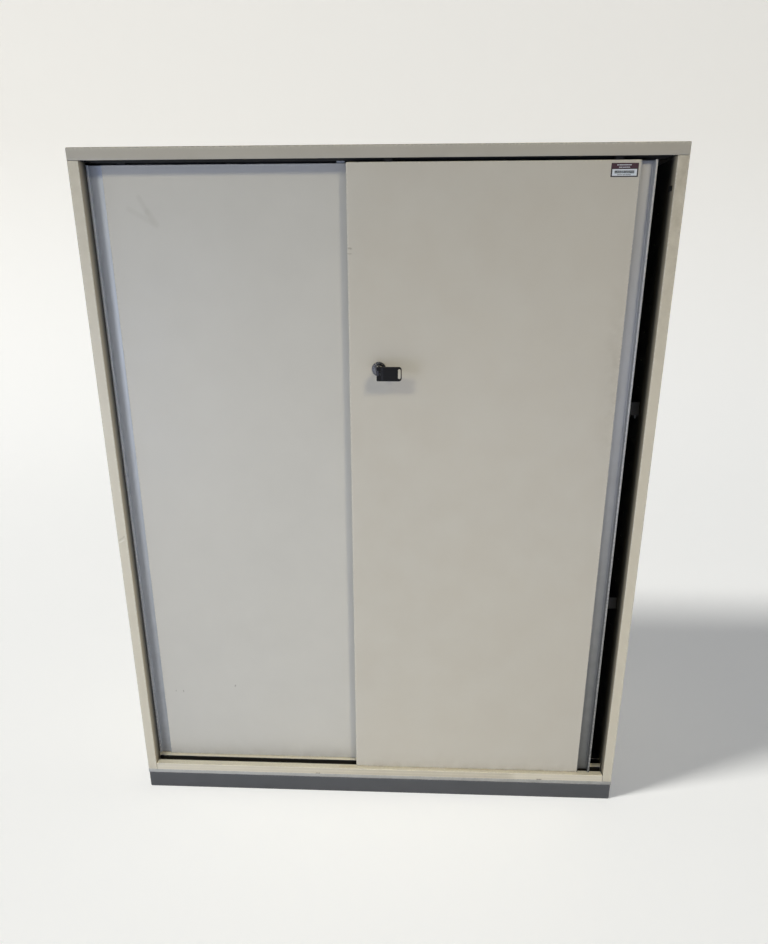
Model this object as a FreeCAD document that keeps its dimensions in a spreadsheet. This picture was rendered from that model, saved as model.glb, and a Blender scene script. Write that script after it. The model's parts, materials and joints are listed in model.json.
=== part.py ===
import FreeCAD, Part
import os
import Sketcher

os.makedirs("parts", exist_ok=True)
document = FreeCAD.newDocument("SlidingDoorCabinet")

# A sheet-steel cupboard with two doors that slide past each other.
# Sizes are in millimetres and angles in degrees. Depths count from the front plane of the
# cabinet, heights from the floor and widths from the middle, unless a note says otherwise.
drivingSizes = {
    # carcass
    "cabinetWidth": 1000,
    "cabinetDepth": 430,
    "cabinetHeight": 1276,
    "topHeight": 20,
    "sideWidth": 19,
    "sheet": 1,
    "returnDepth": 23,
    "linerStep": 7,
    "traySheet": 1.2,
    "foldRadius": 2,
    "plinthHeight": 37,
    "plinthSheet": 1.5,
    "plinthFlange": 22,
    "plinthCorner": 4,
    "basePanHeight": 8,
    "railHeight": 15.4,
    "lipDepth": 12.8,
    "grooveWidth": 12.7,
    "grooveDepth": 10.1,
    "dividerWidth": 11.2,
    "insertWall": 1.2,
    "insertSetdown": 0.4,
    "backInset": 14,
    "trackWall": 1.2,
    "trackSetup": 1,
    # shelves
    "shelfHeight": 25,
    "shelfGap": 2,
    "shelfSetback": 54,
    "lowerShelfLevel": 453,
    "upperShelfLevel": 853,
    "slotFirst": 128,
    "slotPitch": 50,
    "slotCount": 22,
    "slotLength": 12,
    "slotHeight": 3,
    "slotFrontDepth": 80,
    "slotRearDepth": 390,
    "clipReach": 10,
    "clipSheet": 2,
    "clipHook": 3,
    # doors
    "doorWidth": 498,
    "doorThickness": 17,
    "skinSetback": 7.5,
    "doorClearance": 1.1,
    "topGap": 4.5,
    "rearTopGap": 2.2,
    "sideGap": 1.5,
    "rearTuck": 3.5,
    "frontOpenBy": 25.5,
    "doorFold": 1.2,
    "gripWidth": 26.5,
    "gripLip": 3.5,
    "gripDepth": 10.5,
    "stiffenerWidth": 40,
    "stiffenerInset": 20,
    "bumperThickness": 1.2,
    "bumperBottom": 1205,
    "bumperHeight": 8,
    "bumperLength": 13,
    # wheels and guides
    "wheelRadius": 12,
    "wheelWidth": 5.5,
    "wheelBore": 5,
    "wheelRest": 0.3,
    "wheelInset": 70,
    "axleDiameter": 4.9,
    "axleHead": 8,
    "axleHeadHeight": 0.5,
    "bracketLength": 20,
    "bracketSheet": 1.2,
    "bracketBottom": 58,
    "bracketTop": 85,
    "bracketWidth": 8.7,
    "wheelSlot": 30,
    "screwDiameter": 4,
    "screwHead": 8,
    "screwHeadHeight": 2.2,
    "screwSpread": 6,
    "screwLevel": 80,
    "guideLength": 13,
    "guideWidth": 11.4,
    "guideHeight": 14.5,
    "guideChannel": 12,
    "guideInnerInset": 62,
    "guideOuterInset": 60,
    # label
    "labelWidth": 43,
    "labelHeight": 20.5,
    "labelThickness": 0.3,
    "labelRight": 424,
    "labelBottom": 1226,
    # lock and key, with heights counted outward from the skin of the front door
    "lockInset": 52.5,
    "lockLevel": 918,
    "rosetteRadius": 12.7,
    "rosetteHeight": 2,
    "housingRadius": 9.5,
    "nutAcross": 24,
    "nutHeight": 3.5,
    "barrelRadius": 7.5,
    "barrelOut": 7.5,
    "barrelIn": 7,
    "barrelWall": 1.2,
    "boltRadius": 3.5,
    "boltReach": 16.7,
    "plugRadius": 5.5,
    "plugOut": 7.7,
    "shaftFit": 0.05,
    "bladeThickness": 2.2,
    "bladeWidth": 8,
    "bladeIn": 3.7,
    "keyHingeHeight": 37.5,
    "knuckleRadius": 3.2,
    "knuckleDrop": 2,
    "keyPinRadius": 1.2,
    "headThickness": 5,
    "headLength": 43.3,
    "headTop": 9,
    "headBottom": 15.5,
    "ringSlotWidth": 4.6,
    "ringSlotHeight": 17,
    "ringSlotPlace": 36.7,
    "strikeReach": 10.5,
    "strikeHeight": 26,
    "strikeSheet": 1.2,
    "strikeFront": 25,
    "strikeRear": 46,
}

sheet = document.addObject("Spreadsheet::Sheet", "dims")
for row, (alias, value) in enumerate(drivingSizes.items(), start=1):
    sheet.set(f"A{row}", alias)
    sheet.set(f"B{row}", str(value))
    sheet.setAlias(f"B{row}", alias)
document.recompute()

# Levels, depths and widths that several pieces share.
halfWidth = "dims.cabinetWidth / 2"
halfInside = "(dims.cabinetWidth / 2 - dims.sideWidth)"
linerFace = "(dims.cabinetWidth / 2 - dims.sideWidth + dims.linerStep)"
panLevel = "(dims.plinthHeight + dims.basePanHeight)"
floorLevel = "(dims.plinthHeight + dims.basePanHeight + dims.railHeight)"
underTop = "(dims.cabinetHeight - dims.topHeight)"
ceiling = "(dims.cabinetHeight - dims.traySheet)"
doorBottom = f"({floorLevel} + dims.doorClearance)"
doorPitch = "(dims.grooveWidth + dims.dividerWidth)"
railDepth = f"(dims.lipDepth + {doorPitch} + dims.grooveWidth + dims.sheet)"
insertFloor = f"({floorLevel} - dims.grooveDepth + dims.insertWall)"
wheelLevel = f"({insertFloor} + dims.wheelRest + dims.wheelRadius)"
wheelDepth = "(dims.lipDepth + dims.grooveWidth / 2)"
frontOuter = f"({halfInside} - dims.sideGap - dims.frontOpenBy)"
frontInner = f"({frontOuter} - dims.doorWidth)"
lockAcross = f"({frontInner} + dims.lockInset)"
headMiddle = "((dims.headTop - dims.headBottom) / 2)"

# The two doors are mirror images, except for the lock. A door's side is 1 where its grip is on
# the right and -1 where it is on the left, and its depth is that of its skin's front face. The
# rear door reaches a little higher.
frontDoor = {"name": "front", "side": 1, "outer": frontOuter, "depth": "dims.skinSetback",
             "top": f"({underTop} - dims.topGap)", "track": "0"}
rearDoor = {"name": "rear", "side": -1, "outer": f"(-{halfInside} - dims.rearTuck)",
            "depth": f"(dims.skinSetback + {doorPitch})",
            "top": f"({underTop} - dims.rearTopGap)", "track": doorPitch}

builtBodies = []


def size(expression):
    return float(sheet.evalExpression(expression))


# A sub-part: one body, whose label is its node's name. Its own origin lies in the front plane.
def newBody(label):
    body = document.addObject("PartDesign::Body", label)
    body.Label = label
    body.setExpression("Placement.Base.y", "-dims.cabinetDepth / 2")
    builtBodies.append(body)
    return body


# A sub-part whose own origin lies on the lock's axis, in the skin of the front door. Its own Z
# points out of the door and its own Y points up.
def newLockBody(label):
    body = newBody(label)
    body.Placement.Rotation = FreeCAD.Rotation(FreeCAD.Vector(1, 0, 0), 90)
    body.setExpression("Placement.Base.x", lockAcross)
    body.setExpression("Placement.Base.y", "dims.skinSetback - dims.cabinetDepth / 2")
    body.setExpression("Placement.Base.z", "dims.lockLevel")
    return body


def newSketch(body, plane, offset="0"):
    sketch = body.newObject("Sketcher::SketchObject", f"{body.Label}_sketch")
    support = next(item for item in body.Origin.OriginFeatures if item.Role == plane)
    sketch.AttachmentSupport = [(support, "")]
    sketch.MapMode = "FlatFace"
    sketch.setExpression("AttachmentOffset.Base.z", offset)
    return sketch


# One size of a sketch, bound to an expression.
def bind(sketch, kind, geometry, vertex, expression):
    value = size(expression)
    if kind == "Radius":
        constraint = Sketcher.Constraint(kind, geometry, value)
    else:
        constraint = Sketcher.Constraint(kind, -1, 1, geometry, vertex, value)
    index = sketch.addConstraint(constraint)
    sketch.setExpression(f"Constraints[{index}]", expression)


# A closed outline of straight lines through corners that are pairs of expressions.
def outline(sketch, corners):
    places = [FreeCAD.Vector(size(across), size(up), 0) for across, up in corners]
    first = sketch.GeometryCount
    count = len(corners)
    lines = [Part.LineSegment(places[index], places[(index + 1) % count]) for index in range(count)]
    sketch.addGeometry(lines, False)
    joins = []
    for index in range(count):
        following = first + (index + 1) % count
        joins.append(Sketcher.Constraint("Coincident", first + index, 2, following, 1))
    sketch.addConstraint(joins)
    for index, (across, up) in enumerate(corners):
        bind(sketch, "DistanceX", first + index, 1, across)
        bind(sketch, "DistanceY", first + index, 1, up)


def rectangle(sketch, left, bottom, right, top):
    outline(sketch, [(left, bottom), (right, bottom), (right, top), (left, top)])


def circle(sketch, across, up, radius):
    middle = FreeCAD.Vector(size(across), size(up), 0)
    index = sketch.addGeometry(Part.Circle(middle, FreeCAD.Vector(0, 0, 1), size(radius)), False)
    bind(sketch, "DistanceX", index, 3, across)
    bind(sketch, "DistanceY", index, 3, up)
    bind(sketch, "Radius", index, 3, radius)


def pad(body, sketch, length, reverse=False, both=False):
    feature = body.newObject("PartDesign::Pad", f"{body.Label}_pad")
    feature.Profile = sketch
    feature.setExpression("Length", length)
    feature.Reversed = reverse
    if both:
        feature.SideType = "Symmetric"
    sketch.Visibility = False
    return feature


# A pocket that must take material away, to a depth or, without one, right through both ways.
def pocket(body, sketch, depth=None, reverse=False):
    document.recompute()
    before = body.Shape.Volume
    feature = body.newObject("PartDesign::Pocket", f"{body.Label}_pocket")
    feature.Profile = sketch
    feature.Reversed = reverse
    if depth is None:
        feature.SideType = "Symmetric"
        feature.Type = "ThroughAll"
    else:
        feature.setExpression("Length", depth)
    document.recompute()
    if not feature.Shape.Volume < before:
        raise RuntimeError(f"a pocket of {body.Label} takes nothing away")
    return feature


# A turned piece: corners are (radius, height) pairs about the body's own Z.
def turn(body, corners):
    sketch = newSketch(body, "XZ_Plane")
    outline(sketch, corners)
    feature = body.newObject("PartDesign::Revolution", f"{body.Label}_turning")
    feature.Profile = sketch
    feature.ReferenceAxis = (sketch, ["V_Axis"])
    feature.Angle = 360
    return feature


# Rounds the edges whose middle passes the test, which gets it and the edge's direction.
def roundEdges(body, radius, test):
    document.recompute()
    base = body.Tip
    chosen = []
    for index, edge in enumerate(base.Shape.Edges, start=1):
        middle = (edge.Vertexes[0].Point + edge.Vertexes[-1].Point) / 2
        direction = edge.Vertexes[-1].Point - edge.Vertexes[0].Point
        if direction.Length > 0 and test(middle, direction.normalize()):
            chosen.append(f"Edge{index}")
    if not chosen:
        raise RuntimeError(f"no edge of {body.Label} passes the test for rounding")
    feature = body.newObject("PartDesign::Fillet", f"{body.Label}_rounding")
    feature.Base = (base, chosen)
    feature.setExpression("Radius", radius)
    return feature


def near(value, expression):
    return abs(value - size(expression)) < 0.01


# An open box: a tray of folded sheet. The box's corners are given as expressions, its sheet is
# on the top and on four sides, and it is open below.
def trayOpenBelow(body, left, right, front, rear, bottom, top, thickness):
    block = newSketch(body, "XY_Plane", bottom)
    rectangle(block, left, front, right, rear)
    pad(body, block, f"{top} - {bottom}")
    hollow = newSketch(body, "XY_Plane", bottom)
    rectangle(hollow, f"{left} + {thickness}", f"{front} + {thickness}",
              f"{right} - {thickness}", f"{rear} - {thickness}")
    pocket(body, hollow, f"{top} - {bottom} - {thickness}", reverse=True)


def topPanel():
    body = newBody("top_panel")
    trayOpenBelow(body, f"-{halfWidth}", halfWidth, "0", "dims.cabinetDepth", underTop,
                  "dims.cabinetHeight", "dims.traySheet")

    def onCrown(middle, direction):
        return near(middle.z, "dims.cabinetHeight") and abs(direction.z) < 0.1

    def atCorner(middle, direction):
        outside = near(abs(middle.x), halfWidth)
        return outside and abs(direction.z) > 0.9
    roundEdges(body, "dims.foldRadius", atCorner)
    roundEdges(body, "dims.foldRadius", onCrown)


# The outer sheet of a side, with a flange at the front and one at the back.
def sidePanel(label, side):
    body = newBody(label)
    section = newSketch(body, "XY_Plane", panLevel)
    inner = f"{side} * {halfInside}"
    outer = f"{side} * {halfWidth}"
    behindSheet = f"{side} * ({halfWidth} - dims.sheet)"
    rear = "dims.cabinetDepth"
    outline(section, [
        (inner, "0"), (outer, "0"), (outer, rear), (inner, rear),
        (inner, f"{rear} - dims.sheet"), (behindSheet, f"{rear} - dims.sheet"),
        (behindSheet, "dims.sheet"), (inner, "dims.sheet")])
    pad(body, section, f"{underTop} - {panLevel}")

    def outsideFold(middle, direction):
        return near(abs(middle.x), halfWidth) and abs(direction.z) > 0.9
    roundEdges(body, "dims.foldRadius", outsideFold)


# The inner skin of a side. It starts as a shallow return behind the frame, steps outward and
# runs on to the back, with two columns of slots for the shelf clips.
def sideLiner(label, side):
    body = newBody(label)
    section = newSketch(body, "XY_Plane", panLevel)
    returnFace = f"{side} * {halfInside}"
    behindReturn = f"{side} * ({halfInside} + dims.sheet)"
    face = f"{side} * {linerFace}"
    behindFace = f"{side} * ({linerFace} + dims.sheet)"
    step = "dims.returnDepth"
    rear = "dims.cabinetDepth - dims.sheet"
    outline(section, [
        (returnFace, "dims.sheet"), (behindReturn, "dims.sheet"),
        (behindReturn, f"{step} - dims.sheet"), (behindFace, f"{step} - dims.sheet"),
        (behindFace, rear), (face, rear), (face, step), (returnFace, step)])
    pad(body, section, f"{underTop} - {panLevel}")
    slots = newSketch(body, "YZ_Plane", f"{side} * {linerFace}")
    for depth in ("dims.slotFrontDepth", "dims.slotRearDepth"):
        rectangle(slots, f"{depth} - dims.slotLength / 2", "dims.slotFirst - dims.slotHeight",
                  f"{depth} + dims.slotLength / 2", "dims.slotFirst")
    firstSlots = pocket(body, slots)
    column = body.newObject("PartDesign::LinearPattern", f"{label}_column")
    column.Originals = [firstSlots]
    column.Direction = (slots, ["V_Axis"])
    column.setExpression("Length", "dims.slotPitch * (dims.slotCount - 1)")
    column.setExpression("Occurrences", "dims.slotCount")
    body.Tip = column


def backPanel():
    body = newBody("back_panel")
    front = "(dims.cabinetDepth - dims.backInset)"
    rear = "(dims.cabinetDepth - dims.traySheet)"
    block = newSketch(body, "XZ_Plane", f"-{rear}")
    rectangle(block, f"-{linerFace}", floorLevel, linerFace, ceiling)
    pad(body, block, f"{rear} - {front}")
    hollow = newSketch(body, "XZ_Plane", f"-{rear}")
    rectangle(hollow, f"-{linerFace} + dims.sheet", f"{floorLevel} + dims.sheet",
              f"{linerFace} - dims.sheet", f"{ceiling} - dims.sheet")
    pocket(body, hollow, f"{rear} - {front} - dims.sheet", reverse=True)


def bottomPanel():
    body = newBody("bottom_panel")
    trayOpenBelow(body, f"-{linerFace}", linerFace, railDepth,
                  "(dims.cabinetDepth - dims.traySheet)", panLevel, floorLevel, "dims.sheet")


def basePan():
    body = newBody("base_pan")
    trayOpenBelow(body, f"-{halfWidth}", halfWidth, "0", "dims.cabinetDepth",
                  "dims.plinthHeight", panLevel, "dims.traySheet")

    def atCorner(middle, direction):
        return near(abs(middle.x), halfWidth) and abs(direction.z) > 0.9
    roundEdges(body, "dims.foldRadius", atCorner)


# A closed ring with a flange turned inward at its foot and at its head.
def plinth():
    body = newBody("plinth")
    block = newSketch(body, "XY_Plane")
    rectangle(block, f"-{halfWidth}", "0", halfWidth, "dims.cabinetDepth")
    pad(body, block, "dims.plinthHeight")

    def atCorner(middle, direction):
        return abs(direction.z) > 0.9
    roundEdges(body, "dims.plinthCorner", atCorner)
    mouth = newSketch(body, "XY_Plane")
    rectangle(mouth, f"-{halfWidth} + dims.plinthFlange", "dims.plinthFlange",
              f"{halfWidth} - dims.plinthFlange", "dims.cabinetDepth - dims.plinthFlange")
    pocket(body, mouth)
    hollow = newSketch(body, "XY_Plane", "dims.plinthSheet")
    rectangle(hollow, f"-{halfWidth} + dims.plinthSheet", "dims.plinthSheet",
              f"{halfWidth} - dims.plinthSheet", "dims.cabinetDepth - dims.plinthSheet")
    pocket(body, hollow, "dims.plinthHeight - 2 * dims.plinthSheet", reverse=True)


# A folded profile between the sides: a lip, a groove, a divider and a second groove. Its ends
# are notched about the returns of the liners.
def bottomRail():
    body = newBody("bottom_rail")
    section = newSketch(body, "YZ_Plane")
    grooveFloor = f"({floorLevel} - dims.grooveDepth)"
    underGroove = f"({grooveFloor} - dims.sheet)"
    underLip = f"({floorLevel} - dims.sheet)"
    firstWall = "dims.lipDepth"
    secondWall = "(dims.lipDepth + dims.grooveWidth)"
    thirdWall = f"(dims.lipDepth + {doorPitch})"
    fourthWall = f"({thirdWall} + dims.grooveWidth)"
    outline(section, [
        ("0", panLevel), ("0", floorLevel), (firstWall, floorLevel), (firstWall, grooveFloor),
        (secondWall, grooveFloor), (secondWall, floorLevel), (thirdWall, floorLevel),
        (thirdWall, grooveFloor), (fourthWall, grooveFloor), (fourthWall, floorLevel),
        (railDepth, floorLevel), (railDepth, panLevel), (fourthWall, panLevel),
        (fourthWall, underGroove), (f"{thirdWall} - dims.sheet", underGroove),
        (f"{thirdWall} - dims.sheet", underLip), (f"{secondWall} + dims.sheet", underLip),
        (f"{secondWall} + dims.sheet", underGroove), (f"{firstWall} - dims.sheet", underGroove),
        (f"{firstWall} - dims.sheet", underLip), ("dims.sheet", underLip),
        ("dims.sheet", panLevel)])
    pad(body, section, f"2 * {linerFace}", both=True)
    notches = newSketch(body, "XY_Plane", panLevel)
    rectangle(notches, f"-{halfWidth}", "-dims.sheet", f"-{halfInside}", "dims.returnDepth")
    rectangle(notches, halfInside, "-dims.sheet", halfWidth, "dims.returnDepth")
    pocket(body, notches)

    def lipEdge(middle, direction):
        return near(middle.y, "0") and near(middle.z, floorLevel) and abs(direction.x) > 0.9
    roundEdges(body, "dims.sheet", lipEdge)


# The black channel that lines one groove.
def trackInsert(label, offset, halfLength):
    body = newBody(label)
    section = newSketch(body, "YZ_Plane")
    left = f"(dims.lipDepth + {offset})"
    right = f"({left} + dims.grooveWidth)"
    bottom = f"({floorLevel} - dims.grooveDepth)"
    top = f"({floorLevel} - dims.insertSetdown)"
    outline(section, [
        (left, bottom), (right, bottom), (right, top), (f"{right} - dims.insertWall", top),
        (f"{right} - dims.insertWall", insertFloor), (f"{left} + dims.insertWall", insertFloor),
        (f"{left} + dims.insertWall", top), (left, top)])
    pad(body, section, f"2 * {halfLength}", both=True)


# Two channels side by side under the top panel, open below, one over each door.
def topTrack():
    body = newBody("top_track")
    section = newSketch(body, "YZ_Plane")
    bottom = f"({underTop} + dims.trackSetup)"
    web = f"({ceiling} - dims.trackWall)"
    corners = []
    for door in (frontDoor, rearDoor):
        middle = f"({door['depth']} + dims.doorThickness / 2)"
        close = f"({middle} - dims.guideChannel / 2)"
        far = f"({middle} + dims.guideChannel / 2)"
        corners += [
            (f"{close} - dims.trackWall", web), (f"{close} - dims.trackWall", bottom),
            (close, bottom), (close, web), (far, web), (far, bottom),
            (f"{far} + dims.trackWall", bottom), (f"{far} + dims.trackWall", web)]
    corners[0] = (corners[0][0], ceiling)
    corners[-1] = (corners[-1][0], ceiling)
    outline(section, corners)
    pad(body, section, f"2 * {halfInside}", both=True)


def shelf(label, level):
    body = newBody(label)
    trayOpenBelow(body, f"(-{linerFace} + dims.shelfGap)", f"({linerFace} - dims.shelfGap)",
                  "dims.shelfSetback", "(dims.cabinetDepth - dims.backInset - dims.shelfGap)",
                  f"({level} - dims.shelfHeight)", level, "dims.sheet")

    def frontEdge(middle, direction):
        onFront = near(middle.y, "dims.shelfSetback") and near(middle.z, level)
        return onFront and abs(direction.x) > 0.9
    roundEdges(body, "dims.sheet", frontEdge)


# Eight clips alike: a hook through a slot of the liner and a tongue under the shelf.
def shelfClips():
    body = newBody("shelf_clips")
    for side in (-1, 1):
        for level in ("dims.lowerShelfLevel", "dims.upperShelfLevel"):
            top = f"({level} - dims.shelfHeight)"
            for depth in ("dims.slotFrontDepth", "dims.slotRearDepth"):
                section = newSketch(body, "XZ_Plane", f"-{depth}")
                hook = f"{side} * ({linerFace} + dims.clipHook)"
                face = f"{side} * {linerFace}"
                tip = f"{side} * ({linerFace} - dims.clipReach)"
                foot = f"{side} * ({linerFace} - dims.clipSheet)"
                under = f"({top} - dims.clipSheet)"
                outline(section, [
                    (hook, top), (tip, top), (tip, under), (foot, under),
                    (foot, f"{top} - dims.clipReach"), (face, f"{top} - dims.clipReach"),
                    (face, under), (hook, under)])
                pad(body, section, "dims.slotLength - dims.sheet", both=True)


# A rubber pad on the wall that a door meets when it is shut.
def doorBumper(label, side, wall, front):
    body = newBody(label)
    block = newSketch(body, "YZ_Plane", f"{side} * ({wall} - dims.bumperThickness / 2)")
    rectangle(block, front, "dims.bumperBottom", f"{front} + dims.bumperLength",
              "dims.bumperBottom + dims.bumperHeight")
    pad(body, block, "dims.bumperThickness", both=True)


# A width, counted inward from a door's outer edge.
def fromOuter(door, distance):
    return f"({door['outer']} - {door['side']} * ({distance}))"


def wheelPlaces(door):
    return [fromOuter(door, "dims.wheelInset"), fromOuter(door, "dims.doorWidth - dims.wheelInset")]


def bracketFront(door):
    return f"({wheelDepth} + {door['track']} - dims.bracketWidth / 2)"


# A tray open to the back and to the grip's side, with a slot in its bottom fold for each wheel.
def doorSkin(door):
    body = newBody(f"{door['name']}_door_skin")
    rear = f"({door['depth']} + dims.doorThickness)"
    block = newSketch(body, "XZ_Plane", f"-{rear}")
    rectangle(block, fromOuter(door, "dims.doorWidth"), doorBottom,
              fromOuter(door, "dims.gripWidth"), door["top"])
    pad(body, block, "dims.doorThickness")
    hollow = newSketch(body, "XZ_Plane", f"-{rear}")
    rectangle(hollow, fromOuter(door, "dims.doorWidth - dims.sheet"), f"{doorBottom} + dims.sheet",
              fromOuter(door, "dims.gripWidth - dims.sheet"), f"{door['top']} - dims.sheet")
    pocket(body, hollow, "dims.doorThickness - dims.sheet", reverse=True)
    slots = newSketch(body, "XY_Plane", doorBottom)
    for place in wheelPlaces(door):
        rectangle(slots, f"{place} - dims.wheelSlot / 2",
                  f"{bracketFront(door)} - dims.axleHeadHeight",
                  f"{place} + dims.wheelSlot / 2", f"{bracketFront(door)} + dims.bracketWidth")
    pocket(body, slots, "dims.sheet", reverse=True)
    if door is frontDoor:
        lockHole = newSketch(body, "XZ_Plane", f"-{door['depth']}")
        circle(lockHole, lockAcross, "dims.lockLevel", "dims.housingRadius + dims.shaftFit")
        pocket(body, lockHole, "dims.sheet")

    def frontFold(middle, direction):
        onFront = near(middle.y, door["depth"])
        upright = near(middle.x, fromOuter(door, "dims.doorWidth")) and abs(direction.z) > 0.9
        level = near(middle.z, door["top"]) or near(middle.z, doorBottom)
        return onFront and (upright or (level and abs(direction.x) > 0.9))
    roundEdges(body, "dims.doorFold", frontFold)


# A folded profile that closes the door's outer edge: a recessed channel and a lip.
def doorGrip(door):
    body = newBody(f"{door['name']}_door_grip")
    front = door["depth"]
    rear = f"({front} + dims.doorThickness)"
    channelFloor = f"({front} + dims.gripDepth)"
    section = newSketch(body, "XY_Plane", doorBottom)
    outline(section, [
        (fromOuter(door, "dims.gripWidth"), front),
        (fromOuter(door, "dims.gripWidth - dims.sheet"), front),
        (fromOuter(door, "dims.gripWidth - dims.sheet"), channelFloor),
        (fromOuter(door, "dims.gripLip"), channelFloor),
        (fromOuter(door, "dims.gripLip"), front),
        (fromOuter(door, "0"), front),
        (fromOuter(door, "0"), rear),
        (fromOuter(door, "dims.sheet"), rear),
        (fromOuter(door, "dims.sheet"), f"{channelFloor} + dims.sheet"),
        (fromOuter(door, "dims.gripWidth"), f"{channelFloor} + dims.sheet")])
    pad(body, section, f"{door['top']} - {doorBottom}")

    def lipFold(middle, direction):
        onLip = near(middle.y, front) and not near(middle.x, fromOuter(door, "dims.gripWidth"))
        return onLip and abs(direction.z) > 0.9
    roundEdges(body, "0.9 * dims.sheet", lipFold)


def doorBack(door):
    body = newBody(f"{door['name']}_door_back")
    rear = f"({door['depth']} + dims.doorThickness)"
    block = newSketch(body, "XZ_Plane", f"-{rear}")
    rectangle(block, fromOuter(door, "dims.doorWidth - dims.sheet"), f"{doorBottom} + dims.sheet",
              fromOuter(door, "dims.sheet"), f"{door['top']} - dims.sheet")
    pad(body, block, "dims.sheet")
    holes = newSketch(body, "XZ_Plane", f"-{rear}")
    for place in wheelPlaces(door):
        for spread in ("dims.screwSpread", "-dims.screwSpread"):
            circle(holes, f"{place} + {spread}", "dims.screwLevel",
                   "dims.screwDiameter / 2 + dims.shaftFit")
    if door is frontDoor:
        circle(holes, lockAcross, "dims.lockLevel", "dims.boltRadius + 4 * dims.shaftFit")
    pocket(body, holes, "dims.sheet", reverse=True)


# A channel upright in the middle of the door, between its skin and its back.
def doorStiffener(door):
    body = newBody(f"{door['name']}_door_stiffener")
    front = f"({door['depth']} + dims.sheet)"
    rear = f"({door['depth']} + dims.doorThickness - dims.sheet)"
    middle = fromOuter(door, "dims.doorWidth / 2")
    left = f"({middle} - dims.stiffenerWidth / 2)"
    right = f"({middle} + dims.stiffenerWidth / 2)"
    section = newSketch(body, "XY_Plane", f"{doorBottom} + dims.stiffenerInset")
    outline(section, [
        (left, front), (right, front), (right, rear), (f"{right} - dims.sheet", rear),
        (f"{right} - dims.sheet", f"{front} + dims.sheet"),
        (f"{left} + dims.sheet", f"{front} + dims.sheet"), (f"{left} + dims.sheet", rear),
        (left, rear)])
    pad(body, section, f"{door['top']} - {doorBottom} - 2 * dims.stiffenerInset")


# Two brackets alike, each bent over its wheel.
def rollerBrackets(door):
    body = newBody(f"{door['name']}_roller_brackets")
    front = bracketFront(door)
    rear = f"({front} + dims.bracketWidth)"
    underBend = "(dims.bracketTop - dims.bracketSheet)"
    for place in wheelPlaces(door):
        section = newSketch(body, "YZ_Plane", place)
        outline(section, [
            (front, "dims.bracketBottom"), (f"{front} + dims.bracketSheet", "dims.bracketBottom"),
            (f"{front} + dims.bracketSheet", underBend),
            (f"{rear} - dims.bracketSheet", underBend),
            (f"{rear} - dims.bracketSheet", "dims.bracketBottom"), (rear, "dims.bracketBottom"),
            (rear, "dims.bracketTop"), (front, "dims.bracketTop")])
        pad(body, section, "dims.bracketLength", both=True)
    holes = newSketch(body, "XZ_Plane", f"-{front}")
    for place in wheelPlaces(door):
        circle(holes, place, wheelLevel, "dims.axleDiameter / 2 + dims.shaftFit")
    pocket(body, holes)
    screwHoles = newSketch(body, "XZ_Plane", f"-{rear}")
    for place in wheelPlaces(door):
        for spread in ("dims.screwSpread", "-dims.screwSpread"):
            circle(screwHoles, f"{place} + {spread}", "dims.screwLevel",
                   "dims.screwDiameter / 2 + dims.shaftFit")
    pocket(body, screwHoles, "dims.bracketSheet", reverse=True)


# Two rivets alike, each with a flat head at its front.
def rollerAxles(door):
    body = newBody(f"{door['name']}_roller_axles")
    front = bracketFront(door)
    heads = newSketch(body, "XZ_Plane", f"-{front}")
    shanks = newSketch(body, "XZ_Plane", f"-{front}")
    for place in wheelPlaces(door):
        circle(heads, place, wheelLevel, "dims.axleHead / 2")
        circle(shanks, place, wheelLevel, "dims.axleDiameter / 2")
    pad(body, heads, "dims.axleHeadHeight")
    pad(body, shanks, "dims.bracketWidth", reverse=True)


# Four screws alike, which hold the brackets to the door's back.
def bracketScrews(door):
    body = newBody(f"{door['name']}_bracket_screws")
    rear = f"({door['depth']} + dims.doorThickness)"
    shanks = newSketch(body, "XZ_Plane", f"-{rear}")
    heads = newSketch(body, "XZ_Plane", f"-{rear}")
    for place in wheelPlaces(door):
        for spread in ("dims.screwSpread", "-dims.screwSpread"):
            circle(shanks, f"{place} + {spread}", "dims.screwLevel", "dims.screwDiameter / 2")
            circle(heads, f"{place} + {spread}", "dims.screwLevel", "dims.screwHead / 2")
    pad(body, shanks, f"{rear} - {bracketFront(door)} - dims.bracketWidth + dims.bracketSheet")
    pad(body, heads, "dims.screwHeadHeight", reverse=True)


# A block on top of a door, which runs in the top track.
def topGuide(door, end, inset):
    body = newBody(f"{door['name']}_{end}_guide")
    middle = f"({door['depth']} + dims.doorThickness / 2)"
    place = fromOuter(door, inset)
    block = newSketch(body, "XY_Plane", door["top"])
    rectangle(block, f"{place} - dims.guideLength / 2", f"{middle} - dims.guideWidth / 2",
              f"{place} + dims.guideLength / 2", f"{middle} + dims.guideWidth / 2")
    pad(body, block, "dims.guideHeight")

    def crown(middle, direction):
        return near(middle.z, f"{door['top']} + dims.guideHeight")
    roundEdges(body, "dims.foldRadius", crown)


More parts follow.
